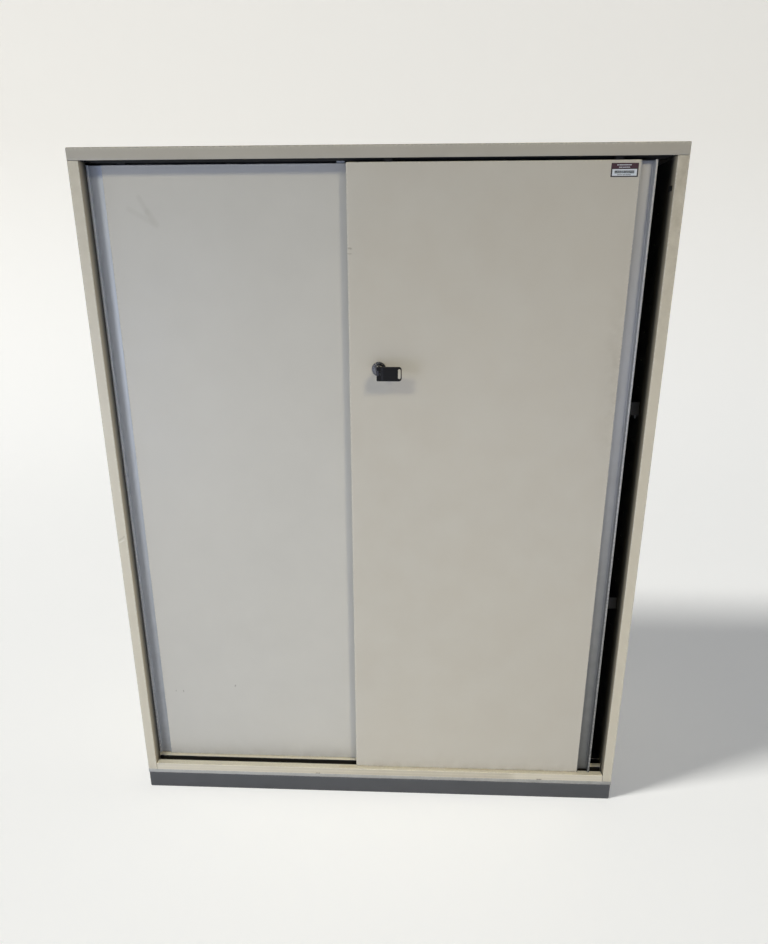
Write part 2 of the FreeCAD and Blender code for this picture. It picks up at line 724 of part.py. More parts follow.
# One wheel, turned about its own Z, which its placement lays along the depth.
def doorWheel(door, label, place):
    body = newBody(label)
    body.Placement.Rotation = FreeCAD.Rotation(FreeCAD.Vector(1, 0, 0), 90)
    body.setExpression("Placement.Base.x", place)
    body.setExpression("Placement.Base.y",
                       f"{wheelDepth} + {door['track']} - dims.cabinetDepth / 2")
    body.setExpression("Placement.Base.z", wheelLevel)
    rim = "dims.wheelRadius"
    bore = "dims.wheelBore / 2"
    half = "dims.wheelWidth / 2"
    dish = "dims.wheelWidth / 2 - dims.sheet"
    turn(body, [
        (bore, f"-({half})"), (f"{bore} + 2 * dims.sheet", f"-({half})"),
        (f"{bore} + 2 * dims.sheet", f"-({dish})"), (f"{rim} - 3 * dims.sheet", f"-({dish})"),
        (f"{rim} - 3 * dims.sheet", f"-({half})"), (f"{rim} - dims.sheet / 2", f"-({half})"),
        (rim, f"-({half}) + dims.sheet / 2"), (rim, f"{half} - dims.sheet / 2"),
        (f"{rim} - dims.sheet / 2", half), (f"{rim} - 3 * dims.sheet", half),
        (f"{rim} - 3 * dims.sheet", dish), (f"{bore} + 2 * dims.sheet", dish),
        (f"{bore} + 2 * dims.sheet", half), (bore, half)])


def assetLabel():
    body = newBody("asset_label")
    block = newSketch(body, "XZ_Plane", "-dims.skinSetback")
    rectangle(block, "dims.labelRight - dims.labelWidth", "dims.labelBottom", "dims.labelRight",
              "dims.labelBottom + dims.labelHeight")
    pad(body, block, "dims.labelThickness")


# The fixed case: a stepped rosette in front of the skin and a sleeve behind it.
def lockHousing():
    body = newLockBody("lock_housing")
    bore = "dims.barrelRadius + dims.shaftFit"
    rosette = "dims.rosetteHeight"
    step = "0.75 * dims.rosetteHeight"
    rim = "dims.rosetteRadius"
    sleeve = "dims.housingRadius"
    end = "-(dims.doorThickness - dims.sheet)"
    boltHole = "dims.boltRadius + 4 * dims.shaftFit"
    turn(body, [
        (bore, rosette), ("dims.housingRadius - 0.5", rosette), ("dims.housingRadius - 0.2", step),
        (f"{rim} - 2.4", step), (f"{rim} - 2.1", rosette), (f"{rim} - 1.1", rosette),
        (rim, f"{rosette} / 2"), (rim, "0"), (sleeve, "0"), (sleeve, end), (boltHole, end),
        (boltHole, f"{end} + dims.plinthSheet"), (bore, f"{end} + dims.plinthSheet")])


def lockNut():
    body = newLockBody("lock_nut")
    block = newSketch(body, "XY_Plane", "-dims.sheet")
    reach = "(dims.nutAcross / 2 / cos(30 deg))"
    corners = [(f"{reach} * cos({turnBy} deg)", f"{reach} * sin({turnBy} deg)")
               for turnBy in range(0, 360, 60)]
    outline(block, corners)
    circle(block, "0", "0", "dims.housingRadius")
    pad(body, block, "dims.nutHeight", reverse=True)


def lockBarrel():
    body = newLockBody("lock_barrel")
    bore = "dims.plugRadius + dims.shaftFit"
    rim = "dims.barrelRadius"
    turn(body, [
        (bore, "dims.barrelOut"), (f"{rim} - 0.5", "dims.barrelOut"),
        (rim, "dims.barrelOut - 0.5"), (rim, "-dims.barrelIn"), ("0", "-dims.barrelIn"),
        ("0", "dims.barrelWall - dims.barrelIn"), (bore, "dims.barrelWall - dims.barrelIn")])


def lockBolt():
    body = newLockBody("lock_bolt")
    turn(body, [
        ("0", "-dims.barrelIn"), ("dims.boltRadius", "-dims.barrelIn"),
        ("dims.boltRadius", "0.5 - dims.boltReach"), ("dims.boltRadius - 0.5", "-dims.boltReach"),
        ("0", "-dims.boltReach")])


def lockPlug():
    body = newLockBody("lock_plug")
    foot = "dims.barrelWall - dims.barrelIn + 6 * dims.shaftFit"
    turn(body, [
        ("0", foot), ("dims.plugRadius", foot), ("dims.plugRadius", "dims.plugOut - 0.5"),
        ("dims.plugRadius - 0.5", "dims.plugOut"), ("0", "dims.plugOut")])
    keyway = newSketch(body, "XY_Plane", "dims.plugOut")
    rectangle(keyway, "-dims.bladeThickness / 2 - 2 * dims.shaftFit",
              "-dims.bladeWidth / 2 - 2 * dims.shaftFit",
              "dims.bladeThickness / 2 + 2 * dims.shaftFit",
              "dims.bladeWidth / 2 + 2 * dims.shaftFit")
    pocket(body, keyway, "dims.plugOut + dims.bladeIn + 4 * dims.shaftFit")


# A flat blade with a stop collar and, at its outer end, an upright eye for the hinge pin.
def keyBlade():
    body = newLockBody("key_blade")
    blade = newSketch(body, "XY_Plane", "-dims.bladeIn")
    rectangle(blade, "-dims.bladeThickness / 2", "-dims.bladeWidth / 2",
              "dims.bladeThickness / 2", "dims.bladeWidth / 2")
    pad(body, blade, "dims.bladeIn + dims.keyHingeHeight - dims.knuckleRadius - dims.sheet")
    collar = newSketch(body, "XY_Plane", "dims.plugOut + dims.wheelRest")
    rectangle(collar, "-dims.bladeThickness", "-dims.bladeWidth / 2 - dims.sheet",
              "dims.bladeThickness", "dims.bladeWidth / 2 + dims.sheet")
    pad(body, collar, "2 * dims.sheet")
    neck = newSketch(body, "XY_Plane", "dims.keyHingeHeight - 2 * dims.knuckleRadius")
    rectangle(neck, "-dims.bladeThickness / 2", "-dims.knuckleDrop - dims.bladeWidth / 2",
              "dims.bladeThickness / 2", "dims.bladeWidth / 2 - dims.knuckleDrop")
    pad(body, neck, "2 * dims.knuckleRadius - dims.keyPinRadius")
    knuckle = newSketch(body, "XZ_Plane", "dims.knuckleDrop")
    circle(knuckle, "0", "dims.keyHingeHeight", "dims.knuckleRadius")
    pad(body, knuckle, "dims.bladeWidth", both=True)
    eye = newSketch(body, "XZ_Plane", "dims.knuckleDrop")
    circle(eye, "0", "dims.keyHingeHeight", "dims.keyPinRadius + 2 * dims.shaftFit")
    pocket(body, eye)


# A flat paddle with two ears about the blade's eye, two grooves and a slot for a key ring.
def keyHead():
    body = newLockBody("key_head")
    back = "dims.keyHingeHeight - dims.headThickness / 2"
    front = "dims.keyHingeHeight + dims.headThickness / 2"
    earReach = "dims.headThickness / 2"
    right = "(dims.headLength - dims.headThickness / 2)"
    paddle = newSketch(body, "XY_Plane", back)
    rectangle(paddle, f"-{earReach}", "-dims.headBottom", right, "dims.headTop")
    pad(body, paddle, "dims.headThickness")

    def outerCorner(middle, direction):
        return near(middle.x, right) and abs(direction.z) > 0.9
    roundEdges(body, "dims.headThickness", outerCorner)

    def earEnd(middle, direction):
        return near(middle.x, f"-{earReach}") and abs(direction.y) > 0.9
    roundEdges(body, "0.98 * dims.headThickness / 2", earEnd)
    notch = newSketch(body, "XY_Plane", back)
    clearance = "0.6 * dims.sheet"
    rectangle(notch, "-dims.headThickness", f"-dims.knuckleDrop - dims.bladeWidth / 2 - {clearance}",
              f"dims.knuckleRadius + {clearance}",
              f"dims.bladeWidth / 2 - dims.knuckleDrop + {clearance}")
    pocket(body, notch)
    ringSlot = newSketch(body, "XY_Plane", back)
    rectangle(ringSlot, "dims.ringSlotPlace - dims.ringSlotWidth / 2",
              f"{headMiddle} - dims.ringSlotHeight / 2",
              "dims.ringSlotPlace + dims.ringSlotWidth / 2",
              f"{headMiddle} + dims.ringSlotHeight / 2")
    pocket(body, ringSlot)

    def slotCorner(middle, direction):
        besideSlot = abs(middle.x - size("dims.ringSlotPlace")) < size("dims.ringSlotWidth")
        inSlot = abs(middle.y - size(headMiddle)) < size("dims.ringSlotHeight / 2 + 0.1")
        return besideSlot and inSlot and abs(direction.z) > 0.9
    roundEdges(body, "0.48 * dims.ringSlotWidth", slotCorner)
    grooves = newSketch(body, "XY_Plane", front)
    for place in (1.6, 2.2):
        rectangle(grooves, f"{place} * dims.knuckleRadius", "-dims.headBottom - dims.sheet",
                  f"{place} * dims.knuckleRadius + dims.sheet", "dims.headTop + dims.sheet")
    pocket(body, grooves, "0.6 * dims.sheet")
    pinHole = newSketch(body, "XZ_Plane")
    circle(pinHole, "0", "dims.keyHingeHeight", "dims.keyPinRadius + dims.shaftFit")
    pocket(body, pinHole)


def keyPin():
    body = newLockBody("key_pin")
    section = newSketch(body, "XZ_Plane", "dims.headBottom - 0.5")
    circle(section, "0", "dims.keyHingeHeight", "dims.keyPinRadius")
    pad(body, section, "dims.headTop + dims.headBottom - 1", reverse=True)


# An angle on the rear door's inner edge. Its short leg stands between the doors, where the
# bolt stops it.
def lockStrike():
    body = newBody("lock_strike")
    face = fromOuter(rearDoor, "dims.doorWidth")
    section = newSketch(body, "XY_Plane", "dims.lockLevel - dims.strikeHeight / 2")
    outline(section, [
        (face, "dims.strikeFront"), (f"{face} + dims.strikeReach", "dims.strikeFront"),
        (f"{face} + dims.strikeReach", "dims.strikeFront + dims.strikeSheet"),
        (f"{face} + dims.strikeSheet", "dims.strikeFront + dims.strikeSheet"),
        (f"{face} + dims.strikeSheet", "dims.strikeRear"), (face, "dims.strikeRear")])
    pad(body, section, "dims.strikeHeight")


def strikeScrews():
    body = newBody("strike_screws")
    face = f"({fromOuter(rearDoor, 'dims.doorWidth')} + dims.strikeSheet)"
    heads = newSketch(body, "YZ_Plane", face)
    for spread in ("dims.screwHead", "-dims.screwHead"):
        circle(heads, f"{rearDoor['depth']} + dims.doorThickness / 2",
               f"dims.lockLevel + {spread}", "dims.screwHead / 2 - dims.sheet")
    pad(body, heads, "dims.screwHeadHeight / 2")


topPanel()
sidePanel("left_side_panel", -1)
sidePanel("right_side_panel", 1)
sideLiner("left_side_liner", -1)
sideLiner("right_side_liner", 1)
backPanel()
bottomPanel()
basePan()
plinth()
bottomRail()
trackInsert("front_track_insert", "0", halfInside)
trackInsert("rear_track_insert", doorPitch, linerFace)
topTrack()
shelf("lower_shelf", "dims.lowerShelfLevel")
shelf("upper_shelf", "dims.upperShelfLevel")
shelfClips()
doorBumper("right_bumper", 1, halfInside, "(dims.skinSetback + dims.bumperThickness)")
doorBumper("left_bumper", -1, linerFace, rearDoor["depth"])
for door in (frontDoor, rearDoor):
    doorSkin(door)
    doorGrip(door)
    doorBack(door)
    doorStiffener(door)
    rollerBrackets(door)
    rollerAxles(door)
    bracketScrews(door)
    topGuide(door, "outer", "dims.guideOuterInset")
    topGuide(door, "inner", "(dims.doorWidth - dims.guideInnerInset - dims.guideLength / 2)")
    for end, place in zip(("outer", "inner"), wheelPlaces(door)):
        doorWheel(door, f"{door['name']}_{end}_wheel", place)
assetLabel()
lockHousing()
lockNut()
lockBarrel()
lockBolt()
lockPlug()
keyBlade()
keyHead()
keyPin()
lockStrike()
strikeScrews()
document.recompute()

for item in document.Objects:
    if "Invalid" in item.State or "Error" in item.State:
        raise RuntimeError(f"{item.Label} failed: {item.State}")
for body in builtBodies:
    if body.Shape.isNull() or not body.Shape.isValid():
        raise RuntimeError(f"{body.Label} has no valid shape")
for body in builtBodies:
    body.Shape.exportStep(f"parts/{body.Label}.step")
    bounds = body.Shape.BoundBox
    print(f"{body.Label}: {len(body.Shape.Solids)} solid(s), "
          f"x {bounds.XMin:.1f} {bounds.XMax:.1f}, y {bounds.YMin:.1f} {bounds.YMax:.1f}, "
          f"z {bounds.ZMin:.1f} {bounds.ZMax:.1f}")
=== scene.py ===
import json
import math
import bpy
import numpy as np
from mathutils import Matrix, Vector


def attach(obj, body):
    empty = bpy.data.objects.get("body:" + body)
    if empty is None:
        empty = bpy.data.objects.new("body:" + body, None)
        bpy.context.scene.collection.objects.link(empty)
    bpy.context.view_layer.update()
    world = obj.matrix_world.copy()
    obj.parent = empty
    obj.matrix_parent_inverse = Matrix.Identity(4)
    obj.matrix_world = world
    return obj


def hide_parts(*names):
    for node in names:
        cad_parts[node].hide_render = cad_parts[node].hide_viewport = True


# A sheet-steel cupboard with two sliding doors. The frame's solids give every place; the folded
# sheets, the lock, the key's head and the label are made again here with more detail.
# Sizes are in millimetres: widths from the middle, depths from the cupboard's front plane
# and heights from the floor. The mesh helpers turn them into the frame's metres.

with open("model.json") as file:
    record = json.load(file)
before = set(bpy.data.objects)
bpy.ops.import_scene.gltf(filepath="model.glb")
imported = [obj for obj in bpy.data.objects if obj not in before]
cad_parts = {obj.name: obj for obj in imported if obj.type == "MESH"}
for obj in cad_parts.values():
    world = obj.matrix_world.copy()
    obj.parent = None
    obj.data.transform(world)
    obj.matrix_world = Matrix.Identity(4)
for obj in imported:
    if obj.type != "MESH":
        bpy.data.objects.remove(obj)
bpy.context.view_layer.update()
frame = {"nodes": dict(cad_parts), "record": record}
nodes = frame["nodes"]
print("frame loaded:", len(nodes), "nodes")

mm = 0.001
frontPlane = -0.215     # metres, where depths count from

cameraSettings = {
    "place": (0.063, -1.336, 1.076),
    "lens": 24.31,      # millimetres, with the sensor below
    "sensor": 36.0,
    "turnLeft": 2.33,   # degrees
    "tiltDown": 17.13,
    "roll": -0.12,
}


def makeCamera(settings):
    turn, tilt, roll = (math.radians(settings[key]) for key in ("turnLeft", "tiltDown", "roll"))
    forward = Vector((-math.sin(turn) * math.cos(tilt), math.cos(turn) * math.cos(tilt),
                      -math.sin(tilt)))
    right = Vector((math.cos(turn), math.sin(turn), 0))
    up = right.cross(forward)
    rolledRight = math.cos(roll) * right + math.sin(roll) * up
    rolledUp = math.cos(roll) * up - math.sin(roll) * right
    data = bpy.data.cameras.new("camera")
    data.lens = settings["lens"]
    data.sensor_width = settings["sensor"]
    camera = bpy.data.objects.new("camera", data)
    bpy.context.collection.objects.link(camera)
    turned = Matrix((rolledRight, rolledUp, -forward)).transposed().to_4x4()
    camera.matrix_world = Matrix.Translation(settings["place"]) @ turned
    bpy.context.scene.camera = camera


makeCamera(cameraSettings)
bpy.context.scene.view_settings.view_transform = "Standard"
print("camera placed")


# A written colour, 0 to 255 in sRGB, as the linear values that the shader sockets take.
def linear(colour):
    share = np.array(colour, dtype=float) / 255
    curve = np.where(share <= 0.04045, share / 12.92, ((share + 0.055) / 1.055) ** 2.4)
    return (*curve.tolist(), 1.0)


def startMaterial(name):
    material = bpy.data.materials.new(name)
    material.use_nodes = True
    tree = material.node_tree
    tree.nodes.clear()
    return material, tree


# A node with its own settings and the values or links of its inputs.
def addNode(tree, kind, inputs=None, **settings):
    made = tree.nodes.new("ShaderNode" + kind)
    for key, value in settings.items():
        setattr(made, key, value)
    for key, value in (inputs or {}).items():
        if isinstance(value, bpy.types.NodeSocket):
            tree.links.new(value, made.inputs[key])
        else:
            made.inputs[key].default_value = value
    return made


def noise(tree, place, scale, detail, roughness=0.5):
    inputs = {"Vector": place, "Scale": scale, "Detail": detail, "Roughness": roughness}
    return addNode(tree, "TexNoise", inputs).outputs["Fac"]


def remap(tree, value, low, high, toLow=0.0, toHigh=1.0):
    inputs = {"Value": value, "From Min": low, "From Max": high, "To Min": toLow, "To Max": toHigh}
    return addNode(tree, "MapRange", inputs, clamp=True).outputs["Result"]


# Noise whose values over a span are stretched to nought to one, or to another range.
def stretchedNoise(tree, place, scale, detail=4, roughness=0.5, span=(0.3, 0.7), to=(0.0, 1.0)):
    return remap(tree, noise(tree, place, scale, detail, roughness), *span, *to)


def calculate(tree, operation, first, second):
    return addNode(tree, "Math", {0: first, 1: second}, operation=operation).outputs[0]


def vectorStep(tree, operation, first, second=(0, 0, 0), output="Vector"):
    inputs = {0: first, 1: second}
    return addNode(tree, "VectorMath", inputs, operation=operation).outputs[output]


def mixColour(tree, share, first, second):
    inputs = {0: share, 6: first, 7: second}
    return addNode(tree, "Mix", inputs, data_type="RGBA").outputs[2]


def bump(tree, height, distance, normal=None):
    inputs = {"Height": height, "Distance": distance, "Strength": 1.0}
    if normal is not None:
        inputs["Normal"] = normal
    return addNode(tree, "Bump", inputs).outputs["Normal"]


def finishMaterial(tree, inputs):
    shader = addNode(tree, "BsdfPrincipled", inputs)
    addNode(tree, "OutputMaterial", {"Surface": shader.outputs["BSDF"]})
    return shader


markGrain = {
    "scale": 900, "detail": 3,
    "widths": (0.4, 1.2),       # least and most, as shares of the mark's own width
    "fade": 0.5,
}


# How much a mark covers: its share within its width of the line from start to end, fading to
# none. The distance is that to a segment, with the place along it held between nought and one.
def markShare(tree, place, start, end, width, share):
    start, end = (Vector(point) * mm + Vector((0, frontPlane, 0)) for point in (start, end))
    along = end - start
    offset = vectorStep(tree, "SUBTRACT", place, tuple(start))
    reach = vectorStep(tree, "DOT_PRODUCT", offset, tuple(along / along.length_squared), "Value")
    held = addNode(tree, "Clamp", {"Value": reach}).outputs[0]
    onLine = addNode(tree, "VectorMath", {0: tuple(along), "Scale": held}, operation="SCALE")
    gap = vectorStep(tree, "SUBTRACT", offset, onLine.outputs[0])
    distance = vectorStep(tree, "LENGTH", gap, output="Value")
    width = width * mm
    widths = [part * width for part in markGrain["widths"]]
    ragged = stretchedNoise(tree, place, markGrain["scale"], markGrain["detail"], to=widths)
    inside = calculate(tree, "SUBTRACT", ragged, distance)
    return remap(tree, inside, 0.0, markGrain["fade"] * width, 0.0, share)


# The kinds of noise in the enamel, with scales per metre, and how much they change its look.
enamelGrain = {
    "cloud": {"scale": 2.2, "detail": 2, "span": (0.35, 0.65)}, "cloudShare": 0.35,
    "smear": {"scale": 45, "detail": 5, "roughness": 0.6, "span": (0.3, 0.75)},
    "patches": {"scale": 260, "detail": 5, "roughness": 0.65, "span": (0.42, 0.62)},
    "peel": {"scale": 620, "detail": 2}, "wave": {"scale": 3.5, "detail": 1},
    "gloss": {"scale": 30}, "glossLess": 0.04, "glossMore": 0.05,
    "dirtDulls": 0.2,
}


# Stoved enamel: a faint mottle, a fine orange peel, a slow waviness of the sheet, paint that is
# worn thin where the piece's own wear attribute says so (on the rail's top a painted highlight),
# dirt and painted shade where its dirtAndShade attribute does, and a few scratches and chips at
# places of their own. Evenness and wornAlike say how much of the dirt, shade and wear stays where
# their noise is lowest. Further inside, some paint turns dark: painted shade of the interior.
def enamel(name, settings):
    material, tree = startMaterial(name)
    place = addNode(tree, "TexCoord").outputs["Object"]
    grain = enamelGrain
    cloud = stretchedNoise(tree, place, **grain["cloud"])
    dirtAndShade = addNode(tree, "Attribute", attribute_name="dirtAndShade").outputs["Fac"]
    smear = stretchedNoise(tree, place, **grain["smear"], to=(settings.get("evenness", 0.0), 1.0))
    smearedDirtAndShade = calculate(tree, "MULTIPLY", dirtAndShade, smear)
    wear = addNode(tree, "Attribute", attribute_name="wear").outputs["Fac"]
    patches = stretchedNoise(tree, place, **grain["patches"],
                             to=(settings.get("wornAlike", 0.0), 1.0))
    layers = [(stretchedNoise(tree, place, settings["mottleScale"]), settings["mottled"]),
              (calculate(tree, "MULTIPLY", cloud, grain["cloudShare"]), settings["clouded"]),
              (smearedDirtAndShade, settings["dirtAndShadeColour"])]
    if "depths" in settings:
        # deeper into the cupboard the colour turns to the dark one: painted shade of the interior
        deep = vectorStep(tree, "DOT_PRODUCT", place, (0, 1, 0), output="Value")
        layers.append((remap(tree, deep, *settings["depths"]), settings["deepColour"]))
    layers.append((calculate(tree, "MULTIPLY", wear, patches), settings["rubbedAndLit"]))
    for *mark, markColour in enamelMarks.get(name, []):
        layers.append((markShare(tree, place, *mark), markColour))
    colour = linear(settings["colour"])
    for share, layerColour in layers:
        colour = mixColour(tree, share, colour, linear(layerColour))
    waved = bump(tree, noise(tree, place, **grain["wave"]), settings["wave"])
    peeled = bump(tree, noise(tree, place, **grain["peel"]), settings["peel"], normal=waved)
    glossSpan = (settings["roughness"] - grain["glossLess"],
                 settings["roughness"] + grain["glossMore"])
    gloss = stretchedNoise(tree, place, **grain["gloss"], to=glossSpan)
    dulled = calculate(tree, "MULTIPLY_ADD", smearedDirtAndShade, grain["dirtDulls"])
    tree.links.new(gloss, dulled.node.inputs[2])
    shader = finishMaterial(tree, {"Base Color": colour, "Roughness": dulled, "Normal": peeled})
    shader.inputs["Metallic"].default_value = settings.get("metallic", 0.0)
    return material


# Marks on the enamel: the start and end of a line, its width in millimetres, how much of the
# paint it covers and its colour.
enamelMarks = {
    "rearDoor": [
        ((-399, 31.4, 1203), (-387, 31.4, 1180), 7, 0.16, (166, 165, 160)),
        ((-387, 31.4, 1180), (-374, 31.4, 1160), 9, 0.20, (166, 165, 158)),
        ((-419, 31.4, 1185), (-381, 31.4, 1163), 7, 0.14, (168, 167, 161)),
        ((-432, 31.4, 225), (-432, 31.4, 223), 1.7, 0.55, (142, 141, 138)),
        ((-416, 31.4, 225), (-416, 31.4, 222), 1.9, 0.60, (136, 135, 132)),
        ((-302, 31.4, 241), (-303, 31.4, 238), 2.0, 0.65, (132, 131, 130)),
    ],
    "frontDoor": [
        ((-42, 7.5, 1120), (-37, 7.5, 1119), 2.2, 0.50, (136, 132, 124)),
        ((-43, 7.5, 1111), (-37, 7.5, 1111), 1.6, 0.40, (144, 140, 132)),
    ],
    "carcass": [
        ((-496.5, 0, 586), (-486, 0, 594), 2.0, 0.50, (176, 172, 158)),
        ((-497.5, 0, 581), (-487, 0, 587), 1.8, 0.60, (232, 230, 224)),
    ],
    "rail": [
        ((-131, 0, 46.2), (-123, 0, 46.2), 1.5, 0.70, (96, 90, 80)),
        ((343, 0, 46.2), (352, 0, 46.2), 1.7, 0.75, (88, 82, 74)),
        ((-78, 6, 60.4), (-50, 7, 60.4), 5.0, 0.35, (206, 184, 140)),
        ((150, 7, 60.4), (240, 8, 60.4), 3.5, 0.22, (200, 182, 146)),
    ],
}


# A paint: its own colour, those of its mottle and its clouds, then of worn places (also painted
# highlight), and of dirty places and painted shade.
def paint(base, colour, mottled, clouded, rubbedAndLit, dirtAndShadeColour, **more):
    return {**base, "colour": colour, "mottled": mottled, "clouded": clouded, "rubbedAndLit": rubbedAndLit,
            "dirtAndShadeColour": dirtAndShadeColour, **more}


sheetPaint = {"mottleScale": 18, "roughness": 0.42, "peel": 0.00005, "wave": 0.0004}
doorPaint = {"mottleScale": 14, "roughness": 0.44, "peel": 0.00005, "wave": 0.0005}
gripPaint = {"mottleScale": 16, "roughness": 0.40, "peel": 0.00003, "wave": 0.0001}
carcassPaint = paint(sheetPaint, (213, 208, 195), (209, 204, 190), (215, 210, 195),
                     (231, 229, 221), (132, 121, 102))
enamelSettings = {
    "carcass": carcassPaint,
    # on the rail the worn colour is lighter and evener: besides real wear it paints the lip's top
    # lighter, a painted highlight of light from above
    "rail": {**carcassPaint, "rubbedAndLit": (238, 235, 224), "wornAlike": 0.7, "evenness": 0.8},
    # the top panel's paint is the carcass paint written darker: painted shade of the dimmer light
    # at the top
    "topPanelShadedPaint": paint(sheetPaint, (184, 181, 174), (180, 177, 169), (186, 182, 172),
                      (222, 219, 210), (122, 112, 96), mottleScale=16, roughness=0.44),
    # the two doors carry one paint: the front door's is written warmer and the rear door's cooler,
    # painted light of the warm and the bluish light that fall on them
    "frontDoor": paint(doorPaint, (200, 198, 192), (197, 194, 187), (203, 199, 190),
                       (222, 219, 212), (132, 122, 106)),
    "rearDoor": paint(doorPaint, (202, 202, 200), (199, 199, 197), (204, 203, 199),
                      (224, 223, 219), (138, 133, 124)),
    # depths, in metres from front to back: where the painted shade of the interior begins and
    # where it is full
    "inside": paint(sheetPaint, (202, 192, 172), (198, 188, 167), (204, 193, 172),
                    (214, 211, 203), (112, 103, 88), roughness=0.46,
                    depths=(-0.213, -0.196), deepColour=(66, 64, 59)),
    "frontGrip": paint(gripPaint, (200, 202, 207), (196, 198, 203), (202, 204, 207),
                       (216, 216, 214), (78, 80, 79), metallic=0.5, evenness=0.9),
    # the rear grip's paint is the front grip's written lighter and bluer: painted light of the
    # bluish light in its channel
    "rearGrip": paint(gripPaint, (212, 220, 234), (208, 216, 230), (213, 221, 235),
                      (238, 240, 244), (96, 97, 104), metallic=0.2, evenness=0.75),
    "pan": paint({}, (178, 181, 184), (173, 175, 177), (181, 181, 180), (204, 204, 202),
                 (96, 92, 86), mottleScale=20, roughness=0.45, peel=0.00004, wave=0.0002),
    "plinth": paint({}, (73, 76, 83), (68, 71, 77), (77, 79, 84), (128, 130, 134),
                    (52, 49, 46), mottleScale=22, roughness=0.46, peel=0.00004, wave=0.0002),
}

plainGrain = {"glossScale": 0.25, "glossLess": 0.06, "glossMore": 0.08, "heightDetail": 3}


# Plain moulded or plated surfaces: one colour with a fine grain in its gloss and its height.
def plainFinish(name, colour, second, scale, roughness, depth, metallic=0.0, shine=0.5):
    material, tree = startMaterial(name)
    place = addNode(tree, "TexCoord").outputs["Object"]
    speckle = stretchedNoise(tree, place, scale)
    speckled = mixColour(tree, speckle, linear(colour), linear(second))
    glossSpan = (roughness - plainGrain["glossLess"], roughness + plainGrain["glossMore"])
    gloss = stretchedNoise(tree, place, scale * plainGrain["glossScale"], to=glossSpan)
    height = bump(tree, noise(tree, place, scale, plainGrain["heightDetail"]), depth)
    inputs = {"Base Color": speckled, "Roughness": gloss, "Normal": height}
    shader = finishMaterial(tree, inputs)
    shader.inputs["Metallic"].default_value = metallic
    shader.inputs["Specular IOR Level"].default_value = shine
    return material


# The two colours, the grain's scale, the roughness, the grain's depth in metres, and how
# metallic and how shiny it is.
plainSettings = {
    "blackTrack": ((24, 24, 24), (36, 35, 33), 240, 0.55, 0.00004),
    "nylon": ((205, 211, 218), (190, 196, 204), 300, 0.42, 0.00003),
    "rubber": ((26, 26, 26), (38, 37, 36), 500, 0.72, 0.00005),
    "keyBlack": ((9, 9, 10), (13, 13, 14), 700, 0.34, 0.00001, 0.0, 0.25),
    "darkSteel": ((74, 74, 77), (58, 58, 61), 600, 0.34, 0.00001, 1.0),
    "zinc": ((176, 178, 180), (150, 152, 155), 120, 0.40, 0.00003, 1.0),
    "steel": ((168, 166, 163), (146, 144, 141), 600, 0.32, 0.00002, 1.0),
    "nickel": ((142, 142, 144), (134, 134, 136), 300, 0.27, 0.000002, 1.0),
    "labelFilm": ((219, 228, 240), (213, 222, 234), 400, 0.40, 0.000005),
    "labelMaroon": ((68, 36, 58), (60, 33, 52), 400, 0.45, 0.000005),
    "labelInk": ((36, 50, 58), (44, 58, 66), 500, 0.45, 0.000005),
    "labelRim": ((44, 38, 46), (50, 44, 52), 500, 0.45, 0.000005),
}

finishes = {name: enamel(name, settings) for name, settings in enamelSettings.items()}
finishes.update({name: plainFinish(name, *values) for name, values in plainSettings.items()})

slotFinishes = {
    "carcass_paint": "carcass", "door_paint": "rearDoor", "grip_paint": "frontGrip",
    "pan_paint": "pan", "plinth_paint": "plinth", "track_black": "blackTrack",
    "galvanised": "zinc", "bright_steel": "steel", "dark_steel": "darkSteel",
    "nickel": "nickel", "nylon": "nylon",
    "key_plastic": "keyBlack", "rubber": "rubber", "label_film": "labelFilm",
}
insideNodes = ("left_side_liner", "right_side_liner", "lower_shelf", "upper_shelf",
               "bottom_panel", "back_panel")
for part in frame["record"]["subparts"]:
    finish = finishes[slotFinishes[part["material_slot"]]]
    if part["node"] in insideNodes:
        finish = finishes["inside"]
    if part["node"].startswith("front_door") and part["material_slot"] == "door_paint":
        finish = finishes["frontDoor"]
    mesh = nodes[part["node"]].data
    mesh.materials.clear()
    mesh.materials.append(finish)
print("materials assigned")


# Millimetres across, in depth and up as the frame's metres.
def placed(across, deep, up):
    parts = np.broadcast_arrays(across, deep, up)
    return np.stack(parts, axis=-1) * mm + np.array((0, frontPlane, 0))


# One at no distance, falling away over a reach.
def fading(distance, reach):
    return np.exp(-distance / reach)


# Nought up to low, one from high on, and straight between.
def rising(value, low, high):
    return np.clip((value - low) / (high - low), 0, 1)


# The middles of the cells of a grid, from the values at its points.
def cellMiddles(grid):
    return (grid[:-1, :-1] + grid[1:, 1:]) / 2


# A mesh from its points and quads, shaded smooth.
def quadMesh(name, points, quads):
    mesh = bpy.data.meshes.new(name)
    mesh.from_pydata(points.reshape(-1, 3).tolist(), [], quads.reshape(-1, 4).tolist())
    mesh.polygons.foreach_set("use_smooth", np.ones(len(mesh.polygons), dtype=bool))
    made = bpy.data.objects.new(name, mesh)
    bpy.context.collection.objects.link(made)
    return made


# The quads between neighbouring rows and columns of a table of point numbers. Rows or columns
# that close on themselves have their first line repeated after the last.
def tableQuads(index, closeRows=False, closeColumns=False):
    if closeRows:
        index = np.concatenate((index, index[:1]), axis=0)
    if closeColumns:
        index = np.concatenate((index, index[:, :1]), axis=1)
    return np.stack((index[:-1, :-1], index[:-1, 1:], index[1:, 1:], index[1:, :-1]), axis=-1)


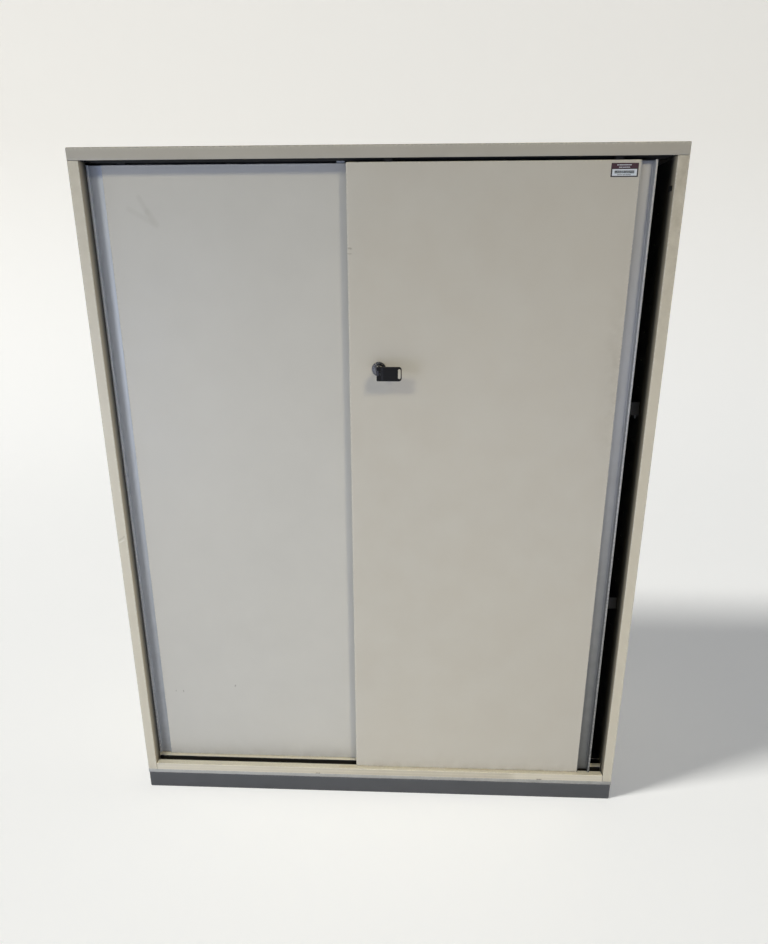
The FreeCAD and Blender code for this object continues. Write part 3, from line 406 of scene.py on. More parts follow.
# A grid of points, rows by columns. Its faces look along columns cross rows, or the other way
# if it is turned. A grid closed both ways gets the way that makes its enclosed volume positive.
def gridMesh(name, points, closeRows=False, closeColumns=False, turned=False):
    index = np.arange(points.shape[0] * points.shape[1]).reshape(points.shape[:2])
    quads = tableQuads(index, closeRows, closeColumns).reshape(-1, 4)
    if closeRows and closeColumns:
        corner = points.reshape(-1, 3)[quads]
        corner = corner - points.reshape(-1, 3).mean(axis=0)
        halves = np.cross(corner[:, 0], corner[:, 1]) + np.cross(corner[:, 1], corner[:, 2])
        halves += np.cross(corner[:, 2], corner[:, 3]) + np.cross(corner[:, 3], corner[:, 0])
        turned = np.sum(halves * corner.mean(axis=1)) < 0
    if turned:
        quads = quads[:, ::-1]
    return quadMesh(name, points, quads)


def setAttribute(piece, name, values):
    attribute = piece.data.attributes.new(name, "FLOAT", "POINT")
    attribute.data.foreach_set("value", np.clip(values, 0, 1).astype(np.float32).ravel())


flatWeight = 80


# Gives a folded sheet its thickness behind its outer face, and keeps its flats looking flat.
def thicken(piece, thickness):
    solid = piece.modifiers.new("sheetThickness", "SOLIDIFY")
    solid.thickness = thickness * mm
    solid.offset = -1
    solid.use_even_offset = True
    piece.modifiers.new("flatShading", "WEIGHTED_NORMAL").weight = flatWeight


def finishPiece(piece, body, slot, finish, *replaced):
    piece.data.materials.append(finishes[finish])
    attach(piece, body)
    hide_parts(*replaced)
    return piece


gridSettings = {
    "nearEdge": (0.8, 2.5, 7.0),        # where lines lie, from an edge
    "leastGap": 0.3,
    "foldSteps": 5,
    "wearReach": 1.4,       # over which worn paint fades from an edge
    "sharpWear": 0.5,       # of a corner that isn't rounded
    "onFace": 1.0,      # how near a place has to be to count as on a face
}


# Distances along a straight run where a grid gets a line: close together near both ends, where
# paint wears, and evenly between.
def runLines(length, spacing, extra=()):
    near, gap = np.array(gridSettings["nearEdge"]), gridSettings["leastGap"]
    even = np.linspace(0, length, max(int(length / spacing), 1) + 1)
    lines = np.concatenate((near, length - near, even, np.array(extra, dtype=float)))
    lines = np.unique(np.round(lines, 2))
    return lines[(lines > gap) & (lines < length - gap)]


# A path through corners, each rounded: on an arc the point is the arc's middle plus its radius,
# turned evenly from one tangent to the next. Gives the points, and how worn each is: one on an
# arc, fading within a few millimetres along the flats.
def roundedPath(corners, radii, spacing, steps=5):
    corners = np.array(corners, dtype=float)
    arcs = []
    for index, radius in enumerate(radii):
        if radius == 0:
            arcs.append(corners[index][None])
            continue
        back = corners[index - 1] - corners[index]
        ahead = corners[index + 1] - corners[index]
        back, ahead = back / np.linalg.norm(back), ahead / np.linalg.norm(ahead)
        half = 0.5 * math.acos(float(np.clip(back @ ahead, -1, 1)))
        inward = (back + ahead) / np.linalg.norm(back + ahead)
        middle = corners[index] + inward * radius / math.sin(half)
        start = corners[index] + back * radius / math.tan(half) - middle
        end = corners[index] + ahead * radius / math.tan(half) - middle
        turn = math.pi - 2 * half
        share = np.linspace(0, 1, steps + 1)[:, None]
        arcs.append(middle + (np.sin((1 - share) * turn) * start + np.sin(share * turn) * end)
                    / math.sin(turn))
    points, wear = [], []
    for index, arc in enumerate(arcs):
        points.append(arc)
        wear.append(np.full(len(arc), 1.0 if radii[index] > 0 else gridSettings["sharpWear"]))
        if index + 1 < len(arcs):
            run = arcs[index + 1][0] - arc[-1]
            length = np.linalg.norm(run)
            lines = runLines(length, spacing)
            points.append(arc[-1] + lines[:, None] * run / length)
            toEnd = np.minimum(lines, length - lines)
            wear.append(fading(toEnd, gridSettings["wearReach"]))
    return np.concatenate(points), np.concatenate(wear)


dentSettings = {"lengths": (170.0, 290.0, 520.0), "margin": 70.0}


# A slow dent field, always inward: a sum of sines of three lengths, brought to nought at the
# edges of the area by a smooth window.
def waviness(across, up, low, high, depth, seed):
    random = np.random.default_rng(seed)
    total = np.zeros(np.broadcast(across, up).shape)
    for length in dentSettings["lengths"]:
        angle, phase = random.uniform(0, math.pi), random.uniform(0, 2 * math.pi)
        along = across * math.cos(angle) + up * math.sin(angle)
        total = total + np.sin(2 * math.pi * along / length + phase)
    margin, count = dentSettings["margin"], len(dentSettings["lengths"])
    sideways = rising(np.minimum(across - low[0], high[0] - across), 0, margin)
    upright = rising(np.minimum(up - low[1], high[1] - up), 0, margin)
    window = sideways * upright * (3 - 2 * sideways) * (3 - 2 * upright) * sideways * upright
    return depth * window * (total + count) / (2 * count)


# A sheet with its four edges folded back. On the flat the point is (across, up, 0). In the folds,
# with fold angles theta and phi of nought to a quarter turn, rho is the larger of them. The sheet
# goes back by r(1 - cos rho) and out by r sin rho, shared between the two ways as theta to phi.
# From its rim a skirt goes straight back, one row for each of the given depths.
def foldedTray(name, settings, place, keepFace=None, keepSkirt=None):
    low, high = np.array(settings["low"], float), np.array(settings["high"], float)
    radius, spacing = settings["fold"], settings["spacing"]
    wearReach, steps = gridSettings["wearReach"], gridSettings["foldSteps"]
    bases, angles, signs, flatWear = [], [], [], []
    for way in (0, 1):
        start, end = low[way] + radius, high[way] - radius
        extra = np.array(settings["extra"][way], float) - start
        flat = start + np.concatenate(([0], runLines(end - start, spacing, extra), [end - start]))
        folded = np.linspace(math.pi / 2, 0, steps + 1)[:-1]
        bases.append(np.concatenate((np.full(steps, start), flat, np.full(steps, end))))
        angles.append(np.concatenate((folded, np.zeros(len(flat)), folded[::-1])))
        signs.append(np.concatenate((-np.ones(steps), np.zeros(len(flat)), np.ones(steps))))
        toEdge = np.minimum(bases[way] - start, end - bases[way])
        flatWear.append(fading(toEdge, wearReach))
    theta, phi = np.meshgrid(angles[0], angles[1])
    rho = np.maximum(theta, phi)
    slant = np.hypot(theta, phi)
    slant = np.where(slant == 0, 1, slant)
    across = bases[0][None, :] + radius * np.sin(rho) * theta / slant * signs[0][None, :]
    up = bases[1][:, None] + radius * np.sin(rho) * phi / slant * signs[1][:, None]
    back = radius * (1 - np.cos(rho))
    back = back + waviness(across, up, low, high, settings["dent"], settings["seed"])
    wear = np.maximum(flatWear[0][None, :], flatWear[1][:, None])
    facePoints = place(across, up, back)
    index = np.arange(across.size).reshape(across.shape)
    quads = tableQuads(index)
    if keepFace is not None:
        quads = quads[keepFace(cellMiddles(across), cellMiddles(up))]
    rim = np.concatenate((index[0, :-1], index[:-1, -1], index[-1, :0:-1], index[:0:-1, 0]))
    rimAcross, rimUp = across.ravel()[rim], up.ravel()[rim]
    depths = np.array(settings["skirt"], float)
    skirtPoints = place(rimAcross[None], rimUp[None], depths[:, None])
    skirtIndex = across.size + np.arange(len(depths) * len(rim)).reshape(len(depths), len(rim))
    skirtIndex = np.concatenate((rim[None], skirtIndex))
    skirtQuads = tableQuads(skirtIndex, closeColumns=True)[..., ::-1]
    if keepSkirt is not None:
        rows = np.concatenate(([radius], depths))
        middleRow = ((rows[:-1] + rows[1:]) / 2)[:, None]
        middleAcross = ((rimAcross + np.roll(rimAcross, -1)) / 2)[None]
        middleUp = ((rimUp + np.roll(rimUp, -1)) / 2)[None]
        skirtQuads = skirtQuads[keepSkirt(middleAcross, middleUp, middleRow)]
    points = np.concatenate((facePoints.reshape(-1, 3), skirtPoints.reshape(-1, 3)))
    allQuads = np.concatenate((quads.reshape(-1, 4), skirtQuads.reshape(-1, 4)))
    piece = quadMesh(name, points, allQuads)
    skirtWear = np.tile(fading(depths - radius, wearReach)[:, None], (1, len(rim)))
    setAttribute(piece, "wear", np.concatenate((wear.ravel(), skirtWear.ravel()))
                 * settings["wear"])
    return piece


# Finishes a sheet: its dirt and painted shade, a share at each point from a function of the place
# in millimetres, then its thickness, and its body, finish and the node it replaces. The slot it is
# given is not used.
def finishSheet(piece, amount, thickness, *finishing):
    count = len(piece.data.vertices)
    places = np.empty(count * 3, dtype=np.float32)
    piece.data.vertices.foreach_get("co", places)
    places = (places.reshape(-1, 3) - np.array((0, frontPlane, 0))) / mm
    # the share holds dirt and, on several sheets, painted shade
    setAttribute(piece, "dirtAndShade", amount(*places.T))
    thicken(piece, thickness)
    return finishPiece(piece, *finishing)


doorSettings = {
    "bottom": 61.5, "thickness": 17.0, "sheet": 1.0, "skirt": (2.2, 4.0),
    "tray": {"fold": 1.2, "spacing": 18.0, "dent": 0.5, "wear": 0.55},
    "slotReach": 15.0, "slotFront": 14.3, "slotRear": 23.5,
    # dirt from the foot up; a thin dark line at the foot, painted shadow of the gap over the rail;
    # and dirt where a hand takes the door
    "lowDirt": 0.35, "lowFade": 14.0, "footFade": 1.6,
    "handUp": 900.0, "handAcross": 25.0, "handTall": 160.0,
    "front": {"low": -44.0, "high": 427.5, "top": 1251.5, "depth": 7.5, "wheels": (26.0, 384.0),
              "shift": 0.0, "lock": (8.5, 918.0, 8.9), "finish": "frontDoor", "seed": 3,
              "footLine": 0.9, "handDirt": 0.25},
    "rear": {"low": -458.0, "high": 13.5, "top": 1253.8, "depth": 31.4,
             "wheels": (-414.5, -56.5), "shift": 23.9, "lock": None, "finish": "rearDoor",
             "seed": 8, "footLine": 0.3, "handDirt": 0.125},
}


# A door's folded skin, with a hole for the lock and slots in its foot for the wheels.
def makeDoorSkin(side):
    own, shared = doorSettings[side], doorSettings
    bottom, reach = shared["bottom"], shared["slotReach"]
    slotLow = shared["slotFront"] + own["shift"] - own["depth"]
    slotHigh = shared["slotRear"] + own["shift"] - own["depth"]
    linesAcross = [wheel + sign * reach for wheel in own["wheels"] for sign in (-1, 1)]
    linesUp = []
    if own["lock"]:
        lockAcross, lockUp, hole = own["lock"]
        linesAcross += [lockAcross - hole, lockAcross + hole]
        linesUp += [lockUp - hole, lockUp + hole]
    settings = {**shared["tray"], "seed": own["seed"], "low": (own["low"], bottom),
                "high": (own["high"], own["top"]), "extra": (linesAcross, linesUp),
                "skirt": (*shared["skirt"], slotLow, slotHigh, shared["thickness"])}

    def place(across, up, back):
        return placed(across, own["depth"] + back, up)

    def keepFace(across, up):
        if not own["lock"]:
            return np.ones(across.shape, dtype=bool)
        return (np.abs(across - lockAcross) > hole) | (np.abs(up - lockUp) > hole)

    def keepSkirt(across, up, back):
        inSlot = np.zeros(np.broadcast(across, back).shape, dtype=bool)
        for wheel in own["wheels"]:
            inSlot |= (np.abs(across - wheel) < reach) & (back > slotLow) & (back < slotHigh)
        return ~(inSlot & (up < bottom + gridSettings["onFace"]))

    skin = foldedTray(f"{side}DoorSkin", settings, place, keepFace, keepSkirt)

    def dirt(across, deep, up):
        low = shared["lowDirt"] * fading(up - bottom, shared["lowFade"])
        # a thin dark line at the foot: painted shadow of the gap over the rail
        foot = own["footLine"] * fading(up - bottom, shared["footFade"])
        fromHand = (((across - own["high"]) / shared["handAcross"]) ** 2
                    + ((up - shared["handUp"]) / shared["handTall"]) ** 2)
        return low + foot + own["handDirt"] * np.exp(-fromHand)
    return finishSheet(skin, dirt, shared["sheet"], f"{side}_door", "door_paint",
                       own["finish"], f"{side}_door_skin")


makeDoorSkin("front")
makeDoorSkin("rear")

gripSettings = {
    "sheet": 1.0, "lip": 3.5, "wall": 25.5, "back": 17.0,
    "start": 0.7,       # how far the wall's front rim lies behind the skin
    "channelFrom": 3.4,     # from the outer edge inward
    "fold": 1.0, "lipFold": 0.9, "wear": 0.5, "spacing": 6.0, "rows": 30.0,
    # the channel's floor behind the skin; how much darker the channel is at the foot and how high
    # that reaches, on the rear grip painted shade of light that falls from above; the painted
    # shade by the lip, how far from the outer edge it ends and over what width it fades
    "front": {"outer": 454.0, "sign": 1, "depth": 7.5, "floor": 10.5, "dirt": 0.90,
              "darkeningTop": 1400.0, "lipShade": 0.35, "unshadedFrom": 15.0, "fade": 9.0},
    "rear": {"outer": -484.5, "sign": -1, "depth": 31.4, "floor": 4.5, "dirt": 0.55,
             "darkeningTop": 1000.0, "lipShade": 0.60, "unshadedFrom": 8.8, "fade": 5.0},
}


# The folded profile at a door's outer edge: down one wall, across the channel's floor, up to the
# lip and round it to the door's back, carried up the door's height.
def makeDoorGrip(side):
    own, shared = gripSettings[side], gripSettings
    corners = [(shared["wall"], shared["start"]), (shared["wall"], own["floor"]),
               (shared["lip"], own["floor"]), (shared["lip"], 0.0), (0.0, 0.0),
               (0.0, shared["back"])]
    radii = [0, shared["fold"], shared["fold"], shared["lipFold"], shared["lipFold"], 0]
    path, wear = roundedPath(corners, radii, shared["spacing"])
    bottom, top = doorSettings["bottom"], doorSettings[side]["top"]
    rows = bottom + np.concatenate(([0], runLines(top - bottom, shared["rows"]), [top - bottom]))
    columns = own["outer"] - own["sign"] * path[:, 0]
    points = placed(columns[None, :], own["depth"] + path[None, :, 1], rows[:, None])
    grip = gridMesh(f"{side}DoorGrip", points, turned=own["sign"] < 0)
    sunk = rising(path[:, 1], 0, own["floor"]) * (path[:, 0] > shared["channelFrom"])
    setAttribute(grip, "wear", np.tile(wear * shared["wear"] * (1 - sunk), (len(rows), 1)))
    # painted shade beside the lip, where the lip and the frame shade the channel
    shadeByLip = np.tile(sunk * rising(own["unshadedFrom"] - path[:, 0], 0, own["fade"]), len(rows))

    def dirt(across, deep, up):
        # darker towards the foot; on the rear grip painted shade
        low = own["dirt"] * (1 - rising(up - bottom, 0, own["darkeningTop"]))
        return np.maximum(low, own["lipShade"] * shadeByLip)
    return finishSheet(grip, dirt, shared["sheet"], f"{side}_door", "grip_paint",
                       f"{side}Grip", f"{side}_door_grip")


makeDoorGrip("front")
makeDoorGrip("rear")
print("doors made")

carcassSettings = {
    "half": 500.0, "inner": 481.0, "depth": 430.0,
    "top": 1276.0, "underTop": 1256.0, "pan": 45.0, "plinth": 37.0,
    "seam": 0.35,       # the joint between two sheets that meet
}


# A tray that lies flat, as wide and deep as the cupboard, its folds hanging down from a level.
def flatTray(name, own, carcass, level, rim):
    settings = {**own, "low": (-carcass["half"], 0.0), "high": (carcass["half"], carcass["depth"]),
                "extra": ((), ()), "skirt": (*own["skirt"], rim)}

    def place(across, up, back):
        return placed(across, up, level - back)
    return foldedTray(name, settings, place)


topPanelSettings = {
    "fold": 2.0, "spacing": 20.0, "dent": 0.5, "seed": 21, "wear": 0.5, "sheet": 1.2,
    "skirt": (3.0, 5.0, 9.0, 14.0), "dirt": 0.12, "dirtFade": 5.0,
}


def makeTopPanel(own, carcass):
    rim = carcass["top"] - carcass["underTop"] - carcass["seam"]
    panel = flatTray("topPanelSheet", own, carcass, carcass["top"], rim)

    def dirt(across, deep, up):
        return own["dirt"] * fading(up - carcass["underTop"], own["dirtFade"])
    return finishSheet(panel, dirt, own["sheet"], "carcass", "carcass_paint",
                       "topPanelShadedPaint", "top_panel")


sidePanelSettings = {
    "turnIn": 1.3, "turnFold": 0.9, "fold": 2.0, "sheet": 1.0, "spacing": 22.0, "rows": 24.0,
    "foldSteps": 7, "dent": 0.6, "seed": 31, "wear": 0.55, "onFlank": 0.01,
    # dirt from the foot up, and painted shade on the front edge from a height to the top, stronger
    # on
    # the right: light that falls off towards the top
    "lowDirt": 0.3, "lowFade": 22.0, "shadeStart": 850.0, "frontFade": 12.0,
    "topShade": {"left": 0.15, "right": 0.45},
}


# A side of the cupboard: a flange round the front, the side itself and a flange at the back,
# as one path carried up.
def makeSidePanel(side, own, carcass):
    sign = -1 if side == "left" else 1
    inner, half, depth = carcass["inner"], carcass["half"], carcass["depth"]
    corners = [(inner, own["turnIn"]), (inner, 0.0), (half, 0.0), (half, depth), (inner, depth)]
    radii = [0, own["turnFold"], own["fold"], own["fold"], 0]
    path, wear = roundedPath(corners, radii, own["spacing"], own["foldSteps"])
    height, seam = carcass["underTop"] - carcass["pan"], carcass["seam"]
    lines = runLines(height, own["rows"])
    rows = carcass["pan"] + np.concatenate(([seam], lines, [height - seam]))
    columns, deep = np.broadcast_arrays(path[None, :, 0], path[None, :, 1] + 0 * rows[:, None])
    tall = np.broadcast_to(rows[:, None], deep.shape)
    flank = np.abs(columns - half) < own["onFlank"]
    low, high = (0.0, carcass["pan"]), (depth, carcass["underTop"])
    dent = waviness(deep, tall, low, high, own["dent"], own["seed"] + sign) * flank
    points = placed(sign * (columns - dent), deep, tall)
    panel = gridMesh(f"{side}SideSheet", points, turned=sign < 0)
    endWear = fading(np.minimum(rows - rows[0], rows[-1] - rows), gridSettings["wearReach"])
    setAttribute(panel, "wear", np.maximum(wear[None, :], endWear[:, None]) * own["wear"])

    def dirt(across, deep, up):
        # front edges darker towards the top: painted shade
        nearTop = rising(up, own["shadeStart"], carcass["top"])
        shadeOnFront = own["topShade"][side] * nearTop * fading(deep, own["frontFade"])
        return own["lowDirt"] * fading(up - carcass["pan"], own["lowFade"]) + shadeOnFront
    return finishSheet(panel, dirt, own["sheet"], "carcass", "carcass_paint",
                       "carcass", f"{side}_side_panel")


railSettings = {
    "top": 60.4, "groove": 50.3, "lip": 12.8, "second": 25.5, "third": 36.7, "fourth": 49.4,
    "rear": 50.4, "crease": 53.0, "creaseDepth": 0.3, "creaseHalf": 0.5, "sheet": 1.0,
    "notch": 22.0, "notchLength": 7.0, "endGap": 1.0, "spacing": 5.0, "columns": 20.0,
    # the folds' wear; the painted highlight on the lip's top and the height of its band
    "wear": 0.5, "topHighlight": 0.9, "topBand": 0.5,
    # dirt in the grooves, and a darkening of the face, which grows between two places across and
    # ends
    "grooveDirt": 0.7, "grooveFade": 6.0, "faceDarkening": 0.32, "faceFrom": (-400.0, 0.0),
    "faceEnd": 300.0,
}


# The bottom rail: a lip with a faint crease across its face, a groove, a divider and a second
# groove, as one path of depth and height carried across. Only the part behind the notches
# reaches the liners.
def makeBottomRail(settings, carcass):
    top, groove, crease = settings["top"], settings["groove"], settings["crease"]
    lip, second, third, fourth = (settings[key] for key in ("lip", "second", "third", "fourth"))
    corners = [(0.0, carcass["pan"]), (0.0, crease - settings["creaseHalf"]),
               (settings["creaseDepth"], crease), (0.0, crease + settings["creaseHalf"]),
               (0.0, top), (lip, top), (lip, groove), (second, groove), (second, top),
               (third, top), (third, groove), (fourth, groove), (fourth, top),
               (settings["rear"], top)]
    radii = [0, 0, 0, 0, 1.0, 0.8, 0.3, 0.3, 0.8, 0.8, 0.3, 0.3, 0.4, 0]
    path, wear = roundedPath(corners, radii, settings["spacing"])
    half = carcass["inner"] - settings["endGap"]
    far = carcass["inner"] + settings["notchLength"] - settings["endGap"] / 2
    columns = -half + np.concatenate(([0], runLines(2 * half, settings["columns"]), [2 * half]))
    columns = np.concatenate(([-far], columns, [far]))
    points = placed(columns[:, None], path[None, :, 0], path[None, :, 1])
    quads = tableQuads(np.arange(len(columns) * len(path)).reshape(len(columns), len(path)))
    pastReturn = np.abs(columns[:-1] + columns[1:])[:, None] / 2 > half
    inNotch = (path[:-1, 0] + path[1:, 0])[None, :] / 2 < settings["notch"]
    rail = quadMesh("bottomRailSheet", points, quads[~(pastReturn & inNotch)][:, ::-1])
    # the lip's top painted as worn paint: a painted highlight of light from above
    litTop = settings["topHighlight"] * (path[:, 1] > top - settings["topBand"])
    worn = np.maximum(wear * settings["wear"], litTop)
    setAttribute(rail, "wear", np.tile(worn, (len(columns), 1)))

    def dirt(across, deep, up):
        onFace = gridSettings["onFace"]
        inGroove = rising(top - up, 0, settings["grooveFade"]) * (deep > lip - onFace)
        spread = rising(across, *settings["faceFrom"]) * (across < settings["faceEnd"])
        front = settings["faceDarkening"] * (deep < onFace) * spread
        return settings["grooveDirt"] * inGroove + front
    return finishSheet(rail, dirt, settings["sheet"], "carcass", "carcass_paint",
                       "rail", "bottom_rail")


basePanSettings = {
    "fold": 1.0, "spacing": 30.0, "dent": 0.0, "seed": 5, "wear": 0.5, "sheet": 1.2,
    "skirt": (2.0, 4.0, 6.0), "gap": 0.15,
    # dirt at the foot, and a darkening that grows to the right between two places
    "footLine": 0.35, "footFade": 2.0, "rightDarkening": 0.4, "rightFrom": (-350.0, 350.0),
}


def makeBasePan(own, carcass):
    rim = carcass["pan"] - carcass["plinth"] - own["gap"]
    pan = flatTray("basePanSheet", own, carcass, carcass["pan"], rim)

    def dirt(across, deep, up):
        foot = own["footLine"] * fading(up - carcass["plinth"], own["footFade"])
        return foot + own["rightDarkening"] * rising(across, *own["rightFrom"])
    return finishSheet(pan, dirt, own["sheet"], "carcass", "pan_paint", "pan", "base_pan")


plinthSettings = {
    "flange": 22.0, "corner": 4.0, "leastCorner": 0.4, "fold": 1.2, "sheet": 1.5,
    "spacing": 8.0, "cornerLines": 7, "sideLines": 24, "wear": 0.4, "dirt": 0.5, "dirtFade": 7.0,
}


# The plinth: a C section with its flanges turned inward, carried round a rounded rectangle. A
# point of the section that lies d inside the outline runs round a smaller rectangle, whose
# corners have the outline's radius less d, but never less than a small one.
def makePlinth(settings, carcass):
    corners = [(settings["flange"], carcass["plinth"]), (0.0, carcass["plinth"]), (0.0, 0.0),
               (settings["flange"], 0.0)]
    fold = settings["fold"]
    section, wear = roundedPath(corners, [0, fold, fold, 0], settings["spacing"])
    inset, up = section[:, 0][:, None], section[:, 1][:, None]
    radius = np.maximum(settings["corner"] - inset, settings["leastCorner"])
    sides = np.array((carcass["half"], carcass["depth"] / 2))
    quarter = np.linspace(0, math.pi / 2, settings["cornerLines"])
    share = np.linspace(0, 1, settings["sideLines"])[1:-1, None]
    arcs, columns = [], []
    for turn, signs in ((3, (1, -1)), (0, (1, 1)), (1, (-1, 1)), (2, (-1, -1))):
        angle = quarter + turn * math.pi / 2
        middle = np.array(signs) * (sides - inset - radius)
        circle = np.stack((np.cos(angle), np.sin(angle)), axis=-1)
        arcs.append(middle[:, None] + radius[:, None] * circle)
    for arc, following in zip(arcs, arcs[1:] + arcs[:1]):
        end, start = arc[:, -1:], following[:, :1]
        columns += [arc, end + (start - end) * share]
    loop = np.concatenate(columns, axis=1)
    points = placed(loop[..., 0], loop[..., 1] + sides[1], up)
    ring = gridMesh("plinthSheet", points, closeColumns=True, turned=True)
    setAttribute(ring, "wear", np.tile(wear[:, None] * settings["wear"], (1, loop.shape[1])))

    def dirt(across, deep, up):
        return settings["dirt"] * fading(up, settings["dirtFade"])
    return finishSheet(ring, dirt, settings["sheet"], "carcass", "plinth_paint",
                       "plinth", "plinth")


makeTopPanel(topPanelSettings, carcassSettings)
makeSidePanel("left", sidePanelSettings, carcassSettings)
makeSidePanel("right", sidePanelSettings, carcassSettings)
makeBottomRail(railSettings, carcassSettings)
makeBasePan(basePanSettings, carcassSettings)
makePlinth(plinthSettings, carcassSettings)
print("carcass made")

lockSettings = {
    "across": 8.5, "up": 918.0, "skin": 7.5, "segments": 96, "spacing": 3.0, "roundSteps": 4,
    # sections as radius, height out of the door and how far the corner is rounded
    "housing": [
        (7.55, 0.0, 0), (7.55, 2.0, 0.25), (9.0, 2.0, 0.12), (9.3, 1.4, 0.12), (10.3, 1.4, 0.12),
        (10.6, 2.0, 0.12), (11.7, 2.0, 0.4), (12.7, 0.9, 0.3), (12.7, 0.0, 0), (9.5, 0.0, 0),
        (9.5, -16.0, 0), (7.55, -16.0, 0)],
    "barrel": [(5.55, -6.9, 0), (5.55, 7.5, 0.2), (7.5, 7.5, 0.6), (7.5, -6.9, 0)],
}


# A turned ring on the lock's axis: a closed path of radius and height out of the door, carried
# round a full turn.
def turnedRing(name, section, settings):
    corners = [(radius, height) for radius, height, rounding in section]
    radii = [rounding for radius, height, rounding in section]
    path = roundedPath(corners + corners[:1], radii + [0], settings["spacing"],
                       settings["roundSteps"])[0][:-1]
    angle = np.arange(settings["segments"]) * 2 * math.pi / settings["segments"]
    across = settings["across"] + path[:, 0][None] * np.cos(angle)[:, None]
    up = settings["up"] + path[:, 0][None] * np.sin(angle)[:, None]
    points = placed(across, settings["skin"] - path[:, 1][None], up)
    return gridMesh(name, points, closeRows=True, closeColumns=True)


def makeLock(settings):
    housing = turnedRing("lockRosette", settings["housing"], settings)
    finishPiece(housing, "front_door", "nickel", "nickel", "lock_housing")
    tube = turnedRing("lockBarrelTube", settings["barrel"], settings)
    finishPiece(tube, "lock_barrel", "nickel", "nickel", "lock_barrel")


makeLock(lockSettings)

keySettings = {
    "left": 6.0, "right": 49.3, "bottom": 902.5, "top": 927.0,
    "notchRight": 12.3, "notchBottom": 911.4, "notchTop": 920.6,
    "front": -32.5, "back": -27.5, "edge": 0.8,
    "slotLeft": 42.9, "slotRight": 47.5, "slotBottom": 906.25, "slotTop": 923.25,
    "grooves": (14.1, 16.1), "grooveHalf": 0.5, "grooveDepth": 0.6, "grooveSteepness": 4,
    "outlineSpacing": 0.6, "edgeLines": 5, "faceLines": 64,
}


# The key's head: a ring round its slot. Every point of the outline is joined to the nearest
# point of the slot, and the section on that line is a rounded bar: its faces run straight from
# outline to slot, and its edges are quarter circles. Two grooves sink its front face.
def makeKeyHead(settings):
    left, right, bottom, top = (settings[key] for key in ("left", "right", "bottom", "top"))
    notch = settings["notchRight"]
    corners = [(notch, settings["notchTop"]), (left, settings["notchTop"]), (left, top),
               (right, top), (right, bottom), (left, bottom), (left, settings["notchBottom"]),
               (notch, settings["notchBottom"]), (notch, settings["notchTop"])]
    radii = [0, 0.8, 2.2, 5.0, 5.0, 2.2, 0.8, 1.0, 0]
    outline = roundedPath(corners, radii, settings["outlineSpacing"])[0][:-1]
    slotRadius = (settings["slotRight"] - settings["slotLeft"]) / 2
    middleX = (settings["slotLeft"] + settings["slotRight"]) / 2
    middleZ = np.clip(outline[:, 1], settings["slotBottom"] + slotRadius,
                      settings["slotTop"] - slotRadius)
    away = np.stack((outline[:, 0] - middleX, outline[:, 1] - middleZ), axis=1)
    away /= np.linalg.norm(away, axis=1)[:, None]
    inner = np.stack((middleX + 0 * middleZ, middleZ), axis=1) + slotRadius * away
    half, edge = (settings["back"] - settings["front"]) / 2, settings["edge"]
    quarter = np.linspace(0, math.pi / 2, settings["edgeLines"])
    face = np.linspace(0, 1, settings["faceLines"])[1:-1]
    # round the bar: shares of the way from outline to slot, insets from both ends of it, and
    # heights to the front
    start, end, flat = 0 * quarter, 1 + 0 * quarter, 0 * face
    share = np.concatenate((start, face, end, end, face[::-1], start))
    growing, shrinking = edge * (1 - np.cos(quarter)), edge * (1 - np.sin(quarter))
    fromOuter = np.concatenate((growing, flat, start, start, flat, shrinking))
    fromInner = np.concatenate((start, flat, shrinking, growing, flat, start))
    leaving = half - edge + edge * np.sin(quarter)
    arriving = half - edge + edge * np.cos(quarter)
    height = np.concatenate((leaving, flat + half, arriving, -leaving, flat - half, -arriving))
    length = np.linalg.norm(inner - outline, axis=1)[:, None]
    along = (inner - outline) / length
    straight = edge + (length - 2 * edge) * share[None, :]
    walked = np.where(share[None, :] == 0, fromOuter[None, :],
                      np.where(share[None, :] == 1, length - fromInner[None, :], straight))
    across = outline[:, :1] + along[:, :1] * walked
    up = outline[:, 1:] + along[:, 1:] * walked
    sink = np.zeros(across.shape)
    for groove in settings["grooves"]:
        beside = (across - groove) / settings["grooveHalf"]
        sink += np.exp(-beside ** settings["grooveSteepness"])
    toFront = rising(height, 0, half)[None, :] * settings["grooveDepth"] * sink
    middle = (settings["front"] + settings["back"]) / 2
    points = placed(across, middle - (height[None, :] - toFront), up)
    head = gridMesh("keyHeadPaddle", points, closeRows=True, closeColumns=True)
    return finishPiece(head, "key_head", "key_plastic", "keyBlack", "key_head")


makeKeyHead(keySettings)
print("lock and key made")

labelSettings = {
    "left": 381.0, "right": 424.0, "bottom": 1226.0, "top": 1246.5, "front": 7.2, "skin": 7.5,
    # areas as left, right, bottom and top, and how wide their strokes are
    "header": (381.5, 423.5, 1238.4, 1246.0), "panel": (383.0, 422.0, 1227.7, 1237.5),
    "bars": (386.5, 418.5, 1231.2, 1235.4), "barWidths": (0.3, 0.8),
    "words": ((389.8, 413.5, 1243.0, 1244.3), (393.0, 410.5, 1239.7, 1240.8)),
    "numbers": (391.0, 414.0, 1228.8, 1229.8), "letterWidths": (0.4, 1.3), "seed": 12,
    "strokes": 200, "gapShare": 0.35,
    "inks": ("labelFilm", "labelMaroon", "labelInk", "labelRim"),
}


# Strokes that fill an area: stretches of uneven width, every other one left bare and narrower.
def strokes(settings, area, widths, random):
    left, right, bottom, top = area
    steps = random.uniform(*settings[widths], settings["strokes"])
    steps[::2] *= settings["gapShare"]
    edges = left + np.cumsum(steps)
    edges = edges[edges < right]
    return [(start, end, bottom, top) for start, end in zip(edges[:-1:2], edges[1::2])]


